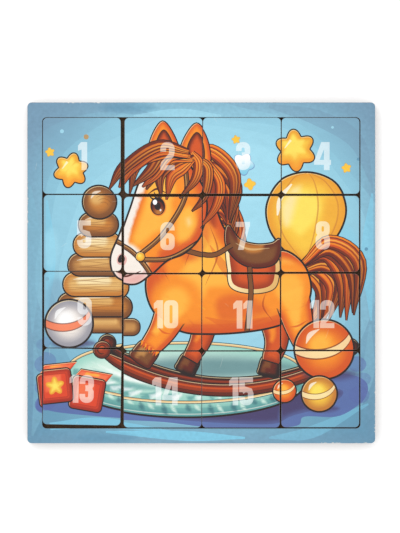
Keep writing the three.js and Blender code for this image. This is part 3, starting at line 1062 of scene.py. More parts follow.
@dataclass(frozen=True)
class NumberFace:
    """A heavy condensed numeral face, built from bars, rings and arcs."""

    height: float = 14.1
    width: float = 7.2
    stem: float = 2.85
    gap: float = 0.45
    corner: float = 2.7  # how round the outer corners of the rings are
    squareness: float = 0.84  # one for round arcs, less for squarer ones
    slab: float = 0.86  # a level bar's height as a share of the stem
    shifts: tuple[Point, ...] = (  # how far from its cell's middle each number stands
        (0.4, -0.15), (2.0, -0.15), (0.6, -0.15), (1.0, -0.15),
        (0.8, -0.7), (2.3, -0.6), (0.6, -0.85), (1.3, -0.75),
        (0.8, -1.0), (1.8, -0.95), (0.9, -1.1), (1.05, -1.15),
        (-0.2, -1.0), (1.5, -0.9), (0.25, -0.9),
    )
    shares: tuple[float, ...] = (1.0, 0.64, 1.0, 1.0, 1.18, 1.0, 1.0, 1.0, 1.0, 1.0)  # each digit's width

    def word(self, number: int, middle: Point) -> list[Part]:
        """Sets a number round a place.

        Args:
            number: The number to set.
            middle: The middle of the set number.

        Returns:
            Each shape with the outlines that are cut out of it.
        """
        digits = [int(letter) for letter in str(number)]
        widths = [self.width * self.shares[digit] for digit in digits]
        left = middle[0] - (sum(widths) + self.gap * (len(digits) - 1)) / 2
        shapes = []
        for digit, width in zip(digits, widths):
            shapes += [
                self._placed(shape, left, middle[1] - self.height / 2)
                for shape in self._digit(digit)
            ]
            left += width + self.gap
        return shapes

    @staticmethod
    def _placed(shape: Outlines, x: float, y: float) -> Part:
        """Moves a shape and its holes from the origin to its place."""
        moved = [part.moved(x, y) for part in shape]
        return moved[0], tuple(moved[1:])

    def _bar(self, x: float, y: float, width: float, height: float) -> tuple[Outline]:
        """Makes an upright rectangle from its lower left corner."""
        return (Outline.through([(x, y), (x + width, y), (x + width, y + height), (x, y + height)]),)

    def _ring(self, bottom: float, top: float, inset: float = 0.0) -> tuple[Outline, Outline]:
        """Makes an upright ring with half-round ends."""
        middle, width = (self.width / 2, (bottom + top) / 2), self.width - 2 * inset
        hole = (width - 2 * self.stem, top - bottom - 2 * self.stem * self.slab)
        return (round_box(middle, (width, top - bottom), self.corner, steps=12),
                round_box(middle, hole, min(hole) / 2 - 0.01, steps=8))

    def _bow(self, *runs: list[Point]) -> tuple[Outline]:
        """Makes a stroke of the stem's width along runs of points on its middle line."""
        track = np.array([point for run in runs for point in run])
        along = np.gradient(track, axis=0)
        along /= np.linalg.norm(along, axis=1, keepdims=True)
        side = np.stack([-along[:, 1], along[:, 0]], 1) * self.stem / 2
        return (Outline.through(np.concatenate([track + side, (track - side)[::-1]])),)

    def _bend(self, upper: bool, start: float, end: float) -> list[Point]:
        """Makes the arc at a digit's top or bottom, a little squarer than a circle's."""
        radius = (self.width - self.stem) / 2
        rise = self.stem / 2 + radius
        centre = (self.width / 2, self.height - rise if upper else rise)
        unit = np.array(sector((0, 0), (1, 1), start, end, 12))
        return [
            tuple(spot)
            for spot in np.sign(unit) * np.abs(unit) ** self.squareness * radius + centre
        ]

    def _digit(self, digit: int) -> list[Outlines]:
        """Gives a digit's shapes, its lower left corner at the origin."""
        w, h, s = self.width, self.height, self.stem
        left, right = s / 2, w - s / 2
        bar, bow, bend, ring = self._bar, self._bow, self._bend, self._ring
        if digit == 0:
            return [ring(0, h)]
        if digit == 1:
            flag = Outline.through([
                (0, h * 0.69), (s * 0.7, h * 0.74), (s * 0.7, h), (s * 0.55, h), (0, h * 0.88)
            ])
            return [bar(0.64 * w - s, 0, s, h), (flag,)]
        if digit == 2:
            slope = [
                (right, h * 0.64), (right - 0.3, h * 0.54), (w * 0.5, h * 0.38), (left + 0.3, h * 0.24),
                (left, s * 0.6)
            ]
            return [bow([(left, h * 0.66)], bend(True, 180, 0), slope), bar(0, 0, w, s * self.slab)]
        if digit == 3:
            upper = [(right, h * 0.63), (w * 0.72, h * 0.545), (w * 0.42, h * 0.525)]
            lower = [(w * 0.42, h * 0.525), (w * 0.72, h * 0.5), (right, h * 0.40)]
            return [
                bow([(left, h * 0.68)], bend(True, 180, 0), upper),
                bow(lower, bend(False, 0, -180), [(left, h * 0.32)])
            ]
        if digit == 4:
            w *= self.shares[4]
            arm = Outline.through([
                (w * 0.42, h), (w * 0.42 + s, h), (s * 0.85, h * 0.2 + s * 0.5), (0, h * 0.2 + s * 0.5)
            ])
            return [bar(w - s * 1.25, 0, s, h), bar(0, h * 0.19, w, s * self.slab), (arm,)]
        if digit == 5:
            bowl = [(left, h * 0.5), (w * 0.45, h * 0.57), (right - 0.35, h * 0.52), (right, h * 0.42)]
            return [bar(0, h - s * 0.9, w * 0.96, s * 0.9), bar(0, h * 0.47, s, h * 0.5),
                    bow(bowl, bend(False, 0, -180), [(left, h * 0.3)])]
        if digit == 6:
            return [
                bow([(right, h * 0.7)], bend(True, 0, 180), [(left, h * 0.5), (left, h * 0.3)]),
                ring(0, h * 0.6)
            ]
        if digit == 7:
            slope = Outline.through([
                (w - s * 0.98, h - s * 0.5), (w, h - s * 0.5), (w * 0.55, 0), (w * 0.55 - s, 0)
            ])
            return [bar(0, h - s * 0.9, w, s * 0.9), (slope,)]
        if digit == 8:
            return [ring(0, h * 0.56), ring(h * 0.46, h, 0.15)]
        return [
            bow([(left, h * 0.3)], bend(False, 180, 360), [(right, h * 0.5), (right, h * 0.7)]),
            ring(h * 0.4, h)
        ]


# ---- shader tools ----------------------------------------------------------------------------
class Wire:
    """An output socket that sums can be written on."""

    def __init__(self, paint: "Nodes", socket: bpy.types.NodeSocket) -> None:
        """Wraps a socket of a tree."""
        self.paint = paint
        self.socket = socket

    def _maths(self, operation: str, left: "Wire | float", right: "Wire | float") -> "Wire":
        """Adds one Math node."""
        return self.paint.add("ShaderNodeMath", {"operation": operation}, {0: left, 1: right})

    def __add__(self, other: "Wire | float") -> "Wire":
        """Adds."""
        return self._maths("ADD", self, other)

    def __sub__(self, other: "Wire | float") -> "Wire":
        """Takes other away."""
        return self._maths("SUBTRACT", self, other)

    def __rsub__(self, other: "Wire | float") -> "Wire":
        """Takes this away from other."""
        return self._maths("SUBTRACT", other, self)

    def __mul__(self, other: "Wire | float") -> "Wire":
        """Multiplies."""
        return self._maths("MULTIPLY", self, other)

    __radd__, __rmul__ = __add__, __mul__


class Nodes:
    """Builds a node tree, of a material or of Geometry Nodes."""

    def __init__(self, tree: bpy.types.NodeTree) -> None:
        """Starts on an empty tree."""
        self.tree = tree
        tree.nodes.clear()

    def add(self, kind: str, settings: dict | None = None, inputs: dict | None = None,
            output: int | str = 0) -> Wire:
        """Adds a node.

        Args:
            kind: The node's type.
            settings: Its properties, set before its inputs.
            inputs: Values or wires for its sockets, by name or place.
            output: The socket that is handed back.

        Returns:
            A wire on that output, or on nothing for a node without outputs.
        """
        node = self.tree.nodes.new(kind)
        for name, value in (settings or {}).items():
            setattr(node, name, value)
        for name, value in (inputs or {}).items():
            if isinstance(value, Wire):
                self.tree.links.new(value.socket, node.inputs[name])
            else:
                node.inputs[name].default_value = value
        return Wire(self, node.outputs[output] if len(node.outputs) else None)

    def also(self, wire: Wire, output: int | str) -> Wire:
        """Hands back another output of the node that a wire comes from."""
        return Wire(self, wire.socket.node.outputs[output])

    def noise(self, scale: float, detail: float = 2.0, vector: Wire | None = None) -> Wire:
        """Adds a noise whose scale counts features in a metre."""
        inputs = {"Scale": scale, "Detail": detail}
        if vector:
            inputs["Vector"] = vector
        return self.add("ShaderNodeTexNoise", {}, inputs)

    def ramp(self, value: Wire, low: float, high: float, start: float = 0.0, end: float = 1.0) -> Wire:
        """Maps a value from low..high to start..end, held at the ends."""
        span = {"From Min": low, "From Max": high, "To Min": start, "To Max": end}
        return self.add("ShaderNodeMapRange", {}, {"Value": value, **span})

    def blend(self, kind: str, factor: Wire | float, base: Wire | tuple, top: Wire | tuple) -> Wire:
        """Mixes two colours by a blend type."""
        settings = {"data_type": "RGBA", "blend_type": kind}
        return self.add("ShaderNodeMix", settings, {0: factor, 6: base, 7: top}, 2)

    def bump(self, height: Wire, strength: float, distance: float) -> Wire:
        """Turns a height into a bent normal, the distance in metres."""
        return self.add(
            "ShaderNodeBump", {}, {"Strength": strength, "Distance": distance, "Height": height}
        )

    def shader(
        self, colour: Wire | tuple, roughness: Wire | float, **inputs: Wire | float | tuple
    ) -> Wire:
        """Adds the main shader; the other inputs have their spaces as underlines."""
        named = {name.replace("_", " "): value for name, value in inputs.items()}
        values = {"Base Color": colour, "Roughness": roughness, **named}
        return self.add("ShaderNodeBsdfPrincipled", {}, values)

    def stretched(self, scale: tuple[float, float, float]) -> Wire:
        """Gives the object's own coordinates, stretched."""
        own = self.add("ShaderNodeTexCoord", {}, {}, "Object")
        return self.add("ShaderNodeMapping", {}, {"Vector": own, "Scale": scale})


def linear(hex_colour: str) -> tuple[float, float, float, float]:
    """Turns an sRGB hex colour into a linear one with full alpha."""
    return (*to_linear(from_hex(hex_colour)).tolist(), 1.0)


# ---- finishes --------------------------------------------------------------------------------
@dataclass(frozen=True)
class Finish:
    """A surface finish; each kind fills in its own nodes."""

    name: str

    def material(self) -> bpy.types.Material:
        """Makes the material, or hands back the one already made."""
        if self.name in bpy.data.materials:
            return bpy.data.materials[self.name]
        material = bpy.data.materials.new(self.name)
        material.use_nodes = True
        nodes = Nodes(material.node_tree)
        shader = self.dress(nodes)
        nodes.add("ShaderNodeOutputMaterial", {}, {"Surface": shader})
        return material

    def dress(self, nodes: Nodes) -> Wire:
        """Adds the finish's nodes and hands back its shader."""
        raise NotImplementedError


@dataclass(frozen=True)
class PrintedFace(Finish):
    """Ink printed on primed board: brush marks in the artwork, fine specks and a satin face."""

    name: str = "printed_face"
    roughness: float = 0.42
    primer: str = "f2fbff"  # shows in fine specks
    grit: str = "3f3a34"  # the few dark specks

    def dress(self, nodes: Nodes) -> Wire:
        """Adds the finish's nodes and hands back its shader."""
        ink = nodes.add("ShaderNodeAttribute", {"attribute_name": "ink"}, {}, "Color")
        bristles = nodes.noise(1.0, 3.0, nodes.stretched((230.0, 420.0, 100.0)))
        wash = nodes.noise(95.0, 4.0)
        grain = nodes.noise(2200.0, 1.0)
        tone = nodes.ramp(bristles * 0.3 + wash * 0.7, 0.32, 0.68, 0.92, 1.07)
        tone = tone + nodes.ramp(grain, 0.3, 0.7, -0.035, 0.035)
        grey = nodes.add("ShaderNodeCombineColor", {}, {0: tone, 1: tone, 2: tone})
        washed = nodes.blend("MULTIPLY", 1.0, ink, grey)
        dust = nodes.add("ShaderNodeTexVoronoi", {}, {"Scale": 190.0, "Randomness": 1.0}, "Distance")
        sparse = nodes.ramp(nodes.noise(60.0, 0.0), 0.52, 0.56)
        specks = nodes.ramp(dust, 0.075, 0.05) * sparse
        flecked = nodes.blend("MIX", specks * 0.5, washed, linear(self.primer))
        grit = nodes.add("ShaderNodeTexVoronoi", {}, {"Scale": 130.0, "Randomness": 1.0}, "Distance")
        dark = nodes.ramp(grit, 0.05, 0.035) * nodes.ramp(wash, 0.56, 0.6)
        colour = nodes.blend("MIX", dark * 0.55, flecked, linear(self.grit))
        gloss = nodes.ramp(
            nodes.noise(240.0, 2.0), 0.3, 0.7, self.roughness - 0.05, self.roughness + 0.09
        )
        peel = nodes.noise(1500.0, 2.0) * 0.7 + bristles * 0.5
        relief = nodes.bump(peel, 0.12, 0.0001)
        return nodes.shader(
            colour, gloss, Normal=relief, Specular_IOR_Level=0.35, Coat_Weight=0.06, Coat_Roughness=0.3
        )


@dataclass(frozen=True)
class PrimedRim(Finish):
    """The eased rim, where the laser leaves the primer bare and a little scorched, lightened partly as a
    painted highlight.
    """

    name: str = "primed_rim_and_highlight"
    # bare primer, also mixed into the print as a painted highlight along the eased rim
    primer: str = "dfe9ea"
    scorch: str = "4a3626"

    def dress(self, nodes: Nodes) -> Wire:
        """Adds the finish's nodes and hands back its shader."""
        ink = nodes.add("ShaderNodeAttribute", {"attribute_name": "ink"}, {}, "Color")
        patchy = nodes.ramp(nodes.noise(420.0, 3.0), 0.36, 0.66)
        # print lightened towards the primer: bare primer, and partly a painted highlight on the eased
        # edge
        pale = nodes.blend("MIX", 0.16, ink, linear(self.primer))
        colour = nodes.blend("MIX", patchy * 0.7, pale, linear(self.scorch))
        return nodes.shader(colour, 0.6)


@dataclass(frozen=True)
class CharredEdge(Finish):
    """A laser-cut edge: char with the beam's upright streaks, black along the seams of the boards."""

    name: str = "charred_edge"
    sheet: float = 0.003  # metres from one seam to the next
    char: str = "1d130d"
    wood: str = "4b2f1b"
    pale: str = "7b5330"  # wood that the beam only tanned
    soot: str = "120c09"

    def dress(self, nodes: Nodes) -> Wire:
        """Adds the finish's nodes and hands back its shader."""
        streaks = nodes.noise(1.0, 3.0, nodes.stretched((1500.0, 1500.0, 90.0)))
        cloud = nodes.noise(160.0, 2.0)
        stripe = nodes.ramp(streaks, 0.35, 0.65)
        brown = nodes.blend("MIX", stripe, linear(self.char), linear(self.wood))
        brown = nodes.blend("MIX", nodes.ramp(cloud, 0.5, 0.75) * 0.6, brown, linear(self.pale))
        own = nodes.add("ShaderNodeTexCoord", {}, {}, "Object")
        height = nodes.add("ShaderNodeSeparateXYZ", {}, {0: own}, "Z")
        inwards = nodes.add("ShaderNodeMath", {"operation": "PINGPONG"}, {0: height, 1: self.sheet / 2})
        soot = nodes.ramp(inwards + streaks * 0.0003, 0.0002, 0.0007, 0.85, 0.0)
        colour = nodes.blend("MIX", soot, brown, linear(self.soot))
        relief = nodes.bump(streaks, 0.6, 0.00012)
        return nodes.shader(colour, nodes.ramp(streaks, 0.3, 0.7, 0.62, 0.9), Normal=relief)


@dataclass(frozen=True)
class Hardboard(Finish):
    """Pressed brown hardboard, either its smooth face or the one with the press screen's mark."""

    name: str = "hardboard_smooth"
    screened: bool = False
    dark: str = "42301e"
    light: str = "6c5137"
    cloud: str = "4a3220"
    chip: str = "b08a5c"
    mesh: str = "382414"  # where the press screen's wires were

    def dress(self, nodes: Nodes) -> Wire:
        """Adds the finish's nodes and hands back its shader."""
        fibres = nodes.noise(1.0, 5.0, nodes.stretched((260.0, 900.0, 400.0)))
        crossing = nodes.noise(1.0, 5.0, nodes.stretched((1000.0, 300.0, 400.0)))
        cloud = nodes.noise(38.0, 3.0)
        pulp = fibres * 0.5 + crossing * 0.5
        base = nodes.blend("MIX", nodes.ramp(pulp, 0.36, 0.64), linear(self.dark), linear(self.light))
        colour = nodes.blend("MIX", nodes.ramp(cloud, 0.4, 0.7) * 0.4, base, linear(self.cloud))
        chips = nodes.ramp(nodes.noise(1300.0, 2.0), 0.66, 0.72)
        colour = nodes.blend("MIX", chips * 0.45, colour, linear(self.chip))
        height = pulp
        if self.screened:
            ripple = {"Scale": 140.0, "Distortion": 0.6, "Detail": 1.0}
            across, along = (
                nodes.add("ShaderNodeTexWave", {"bands_direction": axis}, ripple, "Fac")
                for axis in ("X", "Y")
            )
            weave = across * along
            colour = nodes.blend("MIX", nodes.ramp(weave, 0.1, 0.7) * 0.45, colour, linear(self.mesh))
            height = pulp * 0.5 - weave
        relief = nodes.bump(height, 0.5, 0.0002)
        return nodes.shader(colour, nodes.ramp(pulp, 0.3, 0.7, 0.66, 0.82), Normal=relief)


@dataclass(frozen=True)
class StudioFloor(Finish):
    """The plain pale floor, which glows a little so that shadows on it stay light."""

    name: str = "studio_floor"
    shade: float = 0.97
    glow: float = 0.2

    def dress(self, nodes: Nodes) -> Wire:
        """Adds the finish's nodes and hands back its shader."""
        return nodes.shader(
            (self.shade, self.shade, self.shade, 1), 0.9, Specular_IOR_Level=0.1,
            Emission_Color=(1, 1, 1, 1), Emission_Strength=self.glow,
        )


# ---- from patch to slab ----------------------------------------------------------------------
class SlabTree:
    """The Geometry Nodes tree that turns a flat patch into a cut slab with eased rims."""

    NAME = "cut_slab"
    EASE_STEPS = 2  # flat steps round each rim
    WELD = 2e-7  # metres between points that become one
    DOWNWARD = -0.95  # a face whose normal's Z is below this is the underside's

    def __init__(self) -> None:
        """Builds the tree once, or finds it."""
        self.tree = bpy.data.node_groups.get(self.NAME) or self._build()

    def _build(self) -> bpy.types.NodeTree:
        """Builds the tree with its named inputs."""
        tree = bpy.data.node_groups.new(self.NAME, "GeometryNodeTree")
        face = tree.interface
        face.new_socket("Geometry", in_out="INPUT", socket_type="NodeSocketGeometry")
        for name in ("Thickness", "Ease"):
            face.new_socket(name, in_out="INPUT", socket_type="NodeSocketFloat")
        for name in ("Face", "Rim", "Edge", "Back"):
            face.new_socket(name, in_out="INPUT", socket_type="NodeSocketMaterial")
        face.new_socket("Geometry", in_out="OUTPUT", socket_type="NodeSocketGeometry")
        nodes = Nodes(tree)
        given = nodes.add("NodeGroupInput", {}, {}, "Geometry")
        thickness, ease = nodes.also(given, "Thickness"), nodes.also(given, "Ease")
        face_finish, rim_finish, edge_finish, back_finish = (
            nodes.also(given, name) for name in ("Face", "Rim", "Edge", "Back")
        )
        wall = nodes.add("GeometryNodeSetMaterial", {}, {"Geometry": given, "Material": face_finish})
        count = nodes.add("GeometryNodeInputMeshEdgeNeighbors")
        alike = {"data_type": "INT", "operation": "EQUAL"}
        rim = nodes.add("FunctionNodeCompare", alike, {2: count, 3: 1})
        vector = {"data_type": "FLOAT_VECTOR"}
        outward = nodes.add("GeometryNodeInputNamedAttribute", vector, {"Name": "outward"})
        quarter = [math.radians(90 * step / self.EASE_STEPS) for step in range(self.EASE_STEPS + 1)]
        turns = [
            (math.sin(b) - math.sin(a), math.cos(a) - math.cos(b))
            for a, b in zip(quarter, quarter[1:])
        ]
        for out, down in turns:
            wall, rim = self._drop(nodes, wall, rim, outward, ease * out, ease * down, rim_finish)
        wall, rim = self._drop(nodes, wall, rim, outward, 0.0, thickness - ease * 2.0, edge_finish)
        for out, down in reversed(turns):
            wall, rim = self._drop(nodes, wall, rim, outward, ease * -out, ease * down, edge_finish)
        sunk = nodes.add("ShaderNodeCombineXYZ", {}, {"Z": thickness * -1.0})
        under = nodes.add("GeometryNodeTransform", {}, {"Geometry": given, "Translation": sunk})
        under = nodes.add("GeometryNodeFlipFaces", {}, {"Mesh": under})
        whole = nodes.add("GeometryNodeJoinGeometry", {}, {"Geometry": wall})
        tree.links.new(under.socket, whole.socket.node.inputs[0])
        closed = nodes.add(
            "GeometryNodeMergeByDistance", {}, {"Geometry": whole, "Distance": self.WELD}
        )
        real = nodes.add("GeometryNodeRealizeInstances", {}, {"Geometry": closed})
        facing = nodes.add("ShaderNodeSeparateXYZ", {}, {0: nodes.add("GeometryNodeInputNormal")}, "Z")
        less = {"data_type": "FLOAT", "operation": "LESS_THAN"}
        down = nodes.add("FunctionNodeCompare", less, {0: facing, 1: self.DOWNWARD})
        dressing = {"Geometry": real, "Selection": down, "Material": back_finish}
        backed = nodes.add("GeometryNodeSetMaterial", {}, dressing)
        nodes.add("NodeGroupOutput", {}, {"Geometry": backed})
        return tree

    @staticmethod
    def _drop(
        nodes: Nodes, mesh: Wire, rim: Wire, outward: Wire, out: Wire | float, down: Wire, finish: Wire
    ) -> tuple[Wire, Wire]:
        """Extrudes the open rim outwards and down, and gives the new faces their finish.

        Args:
            nodes: The tree's builder.
            mesh: The mesh so far.
            rim: Which of its edges are the open rim.
            outward: The way out of the patch at each rim point.
            out: How far the rim goes outwards.
            down: How far it goes down.
            finish: The material of the new faces.

        Returns:
            The mesh with its new faces, and which edges are the rim now.
        """
        aside = nodes.add("ShaderNodeVectorMath", {"operation": "SCALE"}, {0: outward, "Scale": out})
        fall = nodes.add("ShaderNodeCombineXYZ", {}, {"Z": down * -1.0})
        shift = nodes.add("ShaderNodeVectorMath", {"operation": "ADD"}, {0: aside, 1: fall})
        growth = {"Mesh": mesh, "Selection": rim, "Offset": shift}
        grown = nodes.add("GeometryNodeExtrudeMesh", {"mode": "EDGES"}, growth, "Mesh")
        dressing = {"Geometry": grown, "Selection": nodes.also(grown, "Side"), "Material": finish}
        return nodes.add("GeometryNodeSetMaterial", {}, dressing), nodes.also(grown, "Top")

    def cut(self, patch: bpy.types.Object, thickness: float, finishes: dict[str, Finish]) -> None:
        """Turns a patch into its slab, as a plain mesh.

        Args:
            patch: The object that holds the flat patch.
            thickness: The slab's thickness in metres.
            finishes: The finish of its Face, Rim, Edge and Back.
        """
        modifier = patch.modifiers.new(self.NAME, "NODES")
        modifier.node_group = self.tree
        values = {name: finish.material() for name, finish in finishes.items()}
        values |= {"Thickness": thickness, "Ease": EASE * MM}
        for item in self.tree.interface.items_tree:
            if item.item_type == "SOCKET" and item.in_out == "INPUT" and item.name in values:
                modifier[item.identifier] = values[item.name]
        bpy.context.view_layer.update()
        flat = patch.data
        done = bpy.data.meshes.new_from_object(
            patch.evaluated_get(bpy.context.evaluated_depsgraph_get())
        )
        patch.modifiers.remove(modifier)
        done.attributes.remove(done.attributes["outward"])
        patch.data = done
        done.name = patch.name
        bpy.data.meshes.remove(flat)


def placed(name: str, data: bpy.types.ID) -> bpy.types.Object:
    """Makes an object of a mesh, a light or a camera, and links it to the scene."""
    thing = bpy.data.objects.new(name, data)
    bpy.context.scene.collection.objects.link(thing)
    return thing


def flat_patch(
    name: str, points: np.ndarray, level: float, faces: list[list[int]], outward: np.ndarray
) -> bpy.types.Object:
    """Makes a flat mesh that knows its way out.

    Args:
        name: Its name.
        points: Its points in millimetres, one a row.
        level: Its height in metres.
        faces: The points of each face.
        outward: The way out of the piece at each point.

    Returns:
        The object, linked to the scene.
    """
    mesh = bpy.data.meshes.new(name)
    count = len(points)
    mesh.from_pydata(np.column_stack([points * MM, np.full(count, level)]).tolist(), [], faces)
    way = mesh.attributes.new("outward", "FLOAT_VECTOR", "POINT")
    way.data.foreach_set("vector", np.column_stack([outward, np.zeros(count)]).ravel())
    return placed(name, mesh)


@dataclass(frozen=True, eq=False)
class Rim:
    """The edge of a piece or of its opening: a rectangle with round corners."""

    size: Point
    middle: Point = (0.0, 0.0)
    radius: float = 2.2
    opening: bool = False

    @cached_property
    def outline(self) -> Outline:
        """The outline of the printed face, inside the eased rim."""
        ease = -EASE if self.opening else EASE
        size = (self.size[0] - 2 * ease, self.size[1] - 2 * ease)
        return round_box(self.middle, size, self.radius - ease, steps=9)

    def outward(self, places: np.ndarray) -> np.ndarray:
        """Gives the unit direction out of the piece at places on the rim, one a row."""
        core = np.array(self.size) / 2 - self.radius
        offset = places - self.middle
        offset = offset - np.clip(offset, -core, core)
        offset /= np.maximum(np.linalg.norm(offset, axis=1, keepdims=True), 1e-9)
        return -offset if self.opening else offset


@dataclass(frozen=True)
class PatchCutter:
    """Cuts flat patches of the drawing along its outlines."""

    drawing: Drawing
    lattice: float = 1.25  # spacing of the points that carry soft shading, mm
    snap: float = 0.002  # points nearer than this become one, mm
    clearance: float = 0.3  # from those points to the piece's edges, mm

    def cut(self, name: str, rims: list[Rim], place: Callable[[np.ndarray], np.ndarray],
            level: float) -> bpy.types.Object:
        """Makes the flat mesh of one printed piece.

        Args:
            name: The piece's name.
            rims: Its edge, then those of its openings.
            place: Moves rows of drawing points to the board, in millimetres.
            level: The height of the printed face in metres.

        Returns:
            An object whose mesh has the ink on its face corners and the way out on its points.
        """
        edges = [rim.outline for rim in rims]
        layers = [
            layer for layer in self.drawing.layers
            if any(self._meets(outline, edges) for outline, _ in layer.parts)
        ]
        outlines = edges + list({id(o): o for layer in layers for o in layer.outlines}.values())
        loops, points = [], []
        for outline in outlines:
            loops.append(list(range(len(points), len(points) + len(outline.loop))))
            points += [Vector(p) for p in outline.loop]
        loose = np.concatenate([self._lattice(edges)] + [layer.stipple for layer in layers])
        points += [Vector(p) for p in loose[self._clear(loose, edges)]]
        spots, _, faces, _, _, owners = delaunay_2d_cdt(points, [], loops, 1, self.snap, True)
        holes = set(range(1, len(edges)))
        kept = [
            (face, frozenset(owner)) for face, owner in zip(faces, owners)
            if 0 in owner and not holes & set(owner)
        ]
        used, index = np.unique(np.array([face for face, _ in kept]), return_inverse=True)
        triangles, spots = index.reshape(-1, 3), np.array([tuple(s) for s in spots])[used]
        inks = self._inks(layers, outlines, spots, triangles, [owner for _, owner in kept])
        nearest = np.array([edge.depth(spots) for edge in edges]).argmin(0)
        outward = np.choose(nearest[:, None], [rim.outward(spots) for rim in rims])
        board = place(spots)
        piece = flat_patch(name, board, level, triangles.tolist(), place(spots + outward) - board)
        ink = piece.data.color_attributes.new("ink", "FLOAT_COLOR", "CORNER")
        opaque = np.ones((inks.size // 3, 1))
        ink.data.foreach_set("color", np.concatenate([inks.reshape(-1, 3), opaque], 1).ravel())
        return piece

    @staticmethod
    def _meets(outline: Outline, edges: list[Outline]) -> bool:
        """Says whether an outline's box meets a piece and is not wholly inside one of its openings."""
        (low, high), (left, right) = outline.box, edges[0].box
        inside = any((low > edge.box[0]).all() and (high < edge.box[1]).all() for edge in edges[1:])
        return bool((high > left).all() and (low < right).all()) and not inside

    def _lattice(self, edges: list[Outline]) -> np.ndarray:
        """Gives evenly spaced points over a piece's box."""
        low, high = edges[0].box
        columns, rows = (np.linspace(a, b, round((b - a) / self.lattice)) for a, b in zip(low, high))
        return np.stack(np.meshgrid(columns, rows), -1).reshape(-1, 2)

    def _clear(self, places: np.ndarray, edges: list[Outline]) -> np.ndarray:
        """Says which places are on the piece and clear of its edges."""
        clear = ((places > edges[0].box[0]) & (places < edges[0].box[1])).all(1)
        for edge in edges[1:]:
            clear &= ~((places > edge.box[0]) & (places < edge.box[1])).all(1)
        for edge in edges:
            clear[clear] = edge.depth(places[clear]) > self.clearance
        return clear

    @staticmethod
    def _inks(
        layers: list[Layer], outlines: list[Outline], spots: np.ndarray, triangles: np.ndarray,
        owners: list[frozenset]
    ) -> np.ndarray:
        """Blends the layers over each face.

        Args:
            layers: The layers that meet the piece, from the bottom up.
            outlines: Every outline in the patch.
            spots: The patch's points on the drawing.
            triangles: The three points of each face.
            owners: The places in the list of the outlines that each face lies in.

        Returns:
            The linear colour at each face's three corners.
        """
        row = {owner: index for index, owner in enumerate(dict.fromkeys(owners))}
        inside = np.zeros((len(row), len(outlines)), bool)
        for owner, index in row.items():
            inside[index, list(owner)] = True
        lies_in = {id(outline): inside[:, column] for column, outline in enumerate(outlines)}
        region = np.array([row[owner] for owner in owners])
        colour = np.ones((len(triangles), 3, 3))
        for layer in layers:
            faces = layer.covers(lies_in)[region]
            used, back = np.unique(triangles[faces], return_inverse=True)
            ink, cover = layer.fill.mix(layer.parts[0][0], spots[used])
            ink, cover = ink[back].reshape(-1, 3, 3), cover[back].reshape(-1, 3, 1)
            colour[faces] = colour[faces] * (1 - cover) + ink * cover
        return to_linear(colour)


# ---- the puzzle's pieces ---------------------------------------------------------------------
@dataclass
class Board:
    """What the pieces share: sizes taken from the frame, and the drawing they are cut from."""

    cells: tuple[int, int] = (4, 4)  # columns and rows
    least_border: float = 3.0  # points nearer the board's outer edge than this bound no opening, mm
    finishes: dict[str, Finish] = field(default_factory=lambda: {
        "Face": PrintedFace(), "Rim": PrimedRim(), "Edge": CharredEdge(), "Back": Hardboard()})

    def __post_init__(self) -> None:
        """Reads the board's and the tiles' sizes, and draws the picture."""
        low, high = (np.array(corner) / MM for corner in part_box("frame"))
        self.size = tuple((high - low)[:2])
        self.sheet = (high - low)[2] * MM
        self.level = high[2] * MM
        self.field_size = self._opening()
        self.drawing = Drawing(self.size, self.cells, self.field_size)
        self.cutter = PatchCutter(self.drawing)
        self.slabs = SlabTree()

    def _opening(self) -> Point:
        """Measures the frame's opening: the furthest of its inner points along X and along Y."""
        points = np.abs(np.array([v.co[:2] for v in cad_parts["frame"].data.vertices])) / MM
        inner = points[(points < points.max(0) - self.least_border).all(1)]
        return tuple(2 * inner.max(0))


@dataclass
class Tray:
    """The hardboard back and the printed frame on it."""

    board: Board

    def build(self) -> list[bpy.types.Object]:
        """Builds the frame and the back board."""
        return [self._frame(), self._back()]

    def _frame(self) -> bpy.types.Object:
        """Cuts the frame from the drawing."""
        board = self.board
        rims = [Rim(board.size), Rim(board.field_size, opening=True)]
        piece = board.cutter.cut("printed_frame", rims, lambda spots: spots, board.level)
        board.slabs.cut(piece, board.sheet, board.finishes)
        return settle(piece, "tray", "frame")

    def _back(self) -> bpy.types.Object:
        """Cuts the back board, smooth side up."""
        low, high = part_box("back_board")
        rim = Rim(self.board.size)
        points = rim.outline.points
        face = [list(range(len(points)))]
        piece = flat_patch("hardboard_back", points, high.z, face, rim.outward(points))
        edge, screened = CharredEdge(), Hardboard("hardboard_screened", True)
        finishes = {"Face": Hardboard(), "Rim": edge, "Edge": edge, "Back": screened}
        self.board.slabs.cut(piece, high.z - low.z, finishes)
        return settle(piece, "tray", "back_board")


